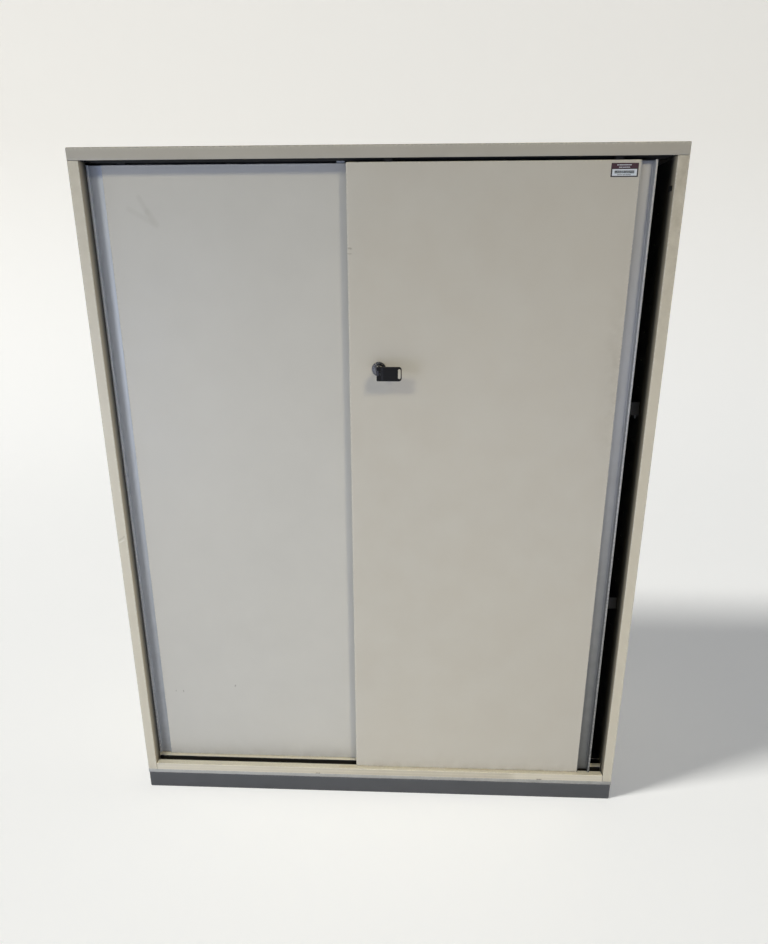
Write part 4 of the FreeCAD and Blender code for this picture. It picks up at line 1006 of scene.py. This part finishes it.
# The label: a printed film whose grid lines are the print's own edges, so that each of its cells
# is rim, header, panel or stroke. The film's rim goes back to the door.
def makeLabel(settings):
    random = np.random.default_rng(settings["seed"])
    left, right, bottom, top = (settings[key] for key in ("left", "right", "bottom", "top"))
    pale, maroon, dark, rim = range(len(settings["inks"]))
    printed = [(rim, (left, right, bottom, top)), (maroon, settings["header"]),
               (pale, settings["panel"])]
    rows = [(pale, area, "letterWidths") for area in settings["words"]]
    rows += [(dark, settings["bars"], "barWidths"), (dark, settings["numbers"], "letterWidths")]
    for ink, area, widths in rows:
        printed += [(ink, stroke) for stroke in strokes(settings, area, widths, random)]
    linesX = np.unique([edge for ink, area in printed for edge in area[:2]])
    linesZ = np.unique([edge for ink, area in printed for edge in area[2:]])
    across = np.concatenate(([left], linesX, [right]))
    up = np.concatenate(([bottom], linesZ, [top]))
    gridX, gridZ = np.meshgrid(across, up)
    onRim = np.zeros(gridX.shape, dtype=bool)
    onRim[0, :] = onRim[-1, :] = onRim[:, 0] = onRim[:, -1] = True
    points = placed(gridX, np.where(onRim, settings["skin"], settings["front"]), gridZ)
    film = gridMesh("labelPrint", points)
    middleX, middleZ = cellMiddles(gridX), cellMiddles(gridZ)
    choice = np.full(middleX.shape, rim)
    for ink, (areaLeft, areaRight, areaBottom, areaTop) in printed:
        inside = (middleX > areaLeft) & (middleX < areaRight)
        choice[inside & (middleZ > areaBottom) & (middleZ < areaTop)] = ink
    finishPiece(film, "front_door", "label_film", settings["inks"][0], "asset_label")
    for ink in settings["inks"][1:]:
        film.data.materials.append(finishes[ink])
    film.data.polygons.foreach_set("material_index", choice.ravel().astype(np.int32))
    film.data.polygons.foreach_set("use_smooth", np.zeros(choice.size, dtype=bool))
    return film


makeLabel(labelSettings)
print("label made")

stageSettings = {
    "halfWidth": 7.0,   # metres
    "front": -5.0,
    "wall": 4.2,
    "height": 5.0,
    "bend": 2.2,
    "bendLines": 40,
    "columns": 3,
    "colour": (226, 225, 221),
    "floorGlow": (148, 148, 146),
    "wallGlow": (178, 175, 168),
}


# Matt paper. What the camera, metal and glass see of it has a glow of its own besides its
# shading, which is stronger on the wall, where the floor's lamp falls slantwise.
def backdropFinish(settings):
    material, tree = startMaterial("backdropPaper")
    paper = addNode(tree, "BsdfDiffuse", {"Color": linear(settings["colour"])})
    rise = addNode(tree, "Attribute", attribute_name="rise").outputs["Fac"]
    glowColour = mixColour(tree, rise, linear(settings["floorGlow"]), linear(settings["wallGlow"]))
    glow = addNode(tree, "Emission", {"Color": glowColour, "Strength": 1.0})
    path = addNode(tree, "LightPath")
    seen = calculate(tree, "MAXIMUM", path.outputs["Is Camera Ray"], path.outputs["Is Glossy Ray"])
    seen = calculate(tree, "MAXIMUM", seen, path.outputs["Is Transmission Ray"])
    both = addNode(tree, "AddShader", {0: paper.outputs[0], 1: glow.outputs[0]})
    mixed = addNode(tree, "MixShader", {0: seen, 1: paper.outputs[0], 2: both.outputs[0]})
    addNode(tree, "OutputMaterial", {"Surface": mixed.outputs[0]})
    return material


# A floor that bends up into a wall: a profile of floor, quarter circle and wall, carried across.
def makeBackdrop(settings):
    bend = settings["bend"]
    angles = np.linspace(0, math.pi / 2, settings["bendLines"])
    bendY = settings["wall"] - bend + bend * np.sin(angles)
    bendZ = bend - bend * np.cos(angles)
    profileY = np.concatenate(([settings["front"]], bendY, [settings["wall"]]))
    profileZ = np.concatenate(([0.0], bendZ, [settings["height"]]))
    across = np.linspace(-settings["halfWidth"], settings["halfWidth"], settings["columns"])
    gridX, gridY = np.meshgrid(across, profileY)
    gridZ = np.meshgrid(across, profileZ)[1]
    backdrop = gridMesh("backdrop", np.stack((gridX, gridY, gridZ), axis=-1))
    rise = np.concatenate(([0.0], 1 - np.cos(angles), [1.0]))
    setAttribute(backdrop, "rise", np.tile(rise[:, None], (1, len(across))))
    backdrop.data.materials.append(backdropFinish(settings))
    return backdrop


backdrop = makeBackdrop(stageSettings)

# Two lamps from above the front give the shadows and two wide ones fill from low down. One
# behind lights the top and the back, and one of its own lights the floor from the left.
lampSettings = {
    # azimuth to the right and height above the horizon in degrees; distance and size in metres;
    # watts; spread in degrees; the height it points at; colour
    "rightLamp": (30, 34, 3.4, (0.6, 0.6), 4.9, 63, -0.16, (1.0, 0.86, 0.55)),
    "leftLamp": (-30, 33.5, 3.4, (0.6, 0.6), 4.5, 62, -0.20, (1.0, 0.93, 0.66)),
    "rightFill": (18, -9, 2.0, (1.6, 1.0), 4.2, 180, 0.48, (0.67, 0.74, 1.0)),
    "leftFill": (-40, -4, 2.0, (1.0, 1.2), 9.4, 180, 0.36, (0.69, 0.77, 1.0)),
    "backLamp": (140, 56, 3.0, (1.6, 1.2), 38.0, 180, 0.0, (1.0, 0.97, 0.93)),
    "floorLamp": (-72, 45.5, 40.0, (7.0, 7.0), 14000.0, 180, 0.0, (1.0, 1.0, 0.99)),
}
lampCentre = Vector((0, -0.2, 0.75))


def makeLamp(name, receivers, settings):
    azimuth, elevation, distance, size, power, spread, aim, colour = settings
    azimuth, elevation = math.radians(azimuth), math.radians(elevation)
    data = bpy.data.lights.new(name, "AREA")
    data.shape = "ELLIPSE"
    data.size, data.size_y = size
    data.energy = power
    data.spread = math.radians(spread)
    data.color = colour
    lamp = bpy.data.objects.new(name, data)
    bpy.context.collection.objects.link(lamp)
    away = Vector((math.sin(azimuth) * math.cos(elevation),
                   -math.cos(azimuth) * math.cos(elevation), math.sin(elevation)))
    lamp.location = lampCentre + distance * away
    outward = lamp.location - Vector((0, lampCentre.y, aim))
    lamp.rotation_euler = outward.to_track_quat("Z", "Y").to_euler()
    lamp.light_linking.receiver_collection = receivers
    return lamp


# A set of what a lamp lights: the backdrop alone, or all but the backdrop.
def lightsBackdrop(name, state):
    receivers = bpy.data.collections.new(name)
    receivers.objects.link(backdrop)
    receivers.collection_objects[0].light_linking.link_state = state
    return receivers


onlyBackdrop = lightsBackdrop("onlyBackdrop", "INCLUDE")
notBackdrop = lightsBackdrop("notBackdrop", "EXCLUDE")
for name, settings in lampSettings.items():
    makeLamp(name, onlyBackdrop if name == "floorLamp" else notBackdrop, settings)

skySettings = {"light": (0.40, 0.57, 1.0), "strength": 0.06, "seen": (233, 232, 228)}


def makeSky(settings):
    world = bpy.data.worlds.new("sky")
    bpy.context.scene.world = world
    world.use_nodes = True
    tree = world.node_tree
    tree.nodes.clear()
    light = addNode(tree, "Background", {"Color": (*settings["light"], 1),
                                         "Strength": settings["strength"]})
    seen = addNode(tree, "Background", {"Color": linear(settings["seen"]), "Strength": 1.0})
    fromCamera = addNode(tree, "LightPath").outputs["Is Camera Ray"]
    shaders = {0: fromCamera, 1: light.outputs[0], 2: seen.outputs[0]}
    mixed = addNode(tree, "MixShader", shaders)
    addNode(tree, "OutputWorld", {"Surface": mixed.outputs[0]})


makeSky(skySettings)
print("floor and light made")
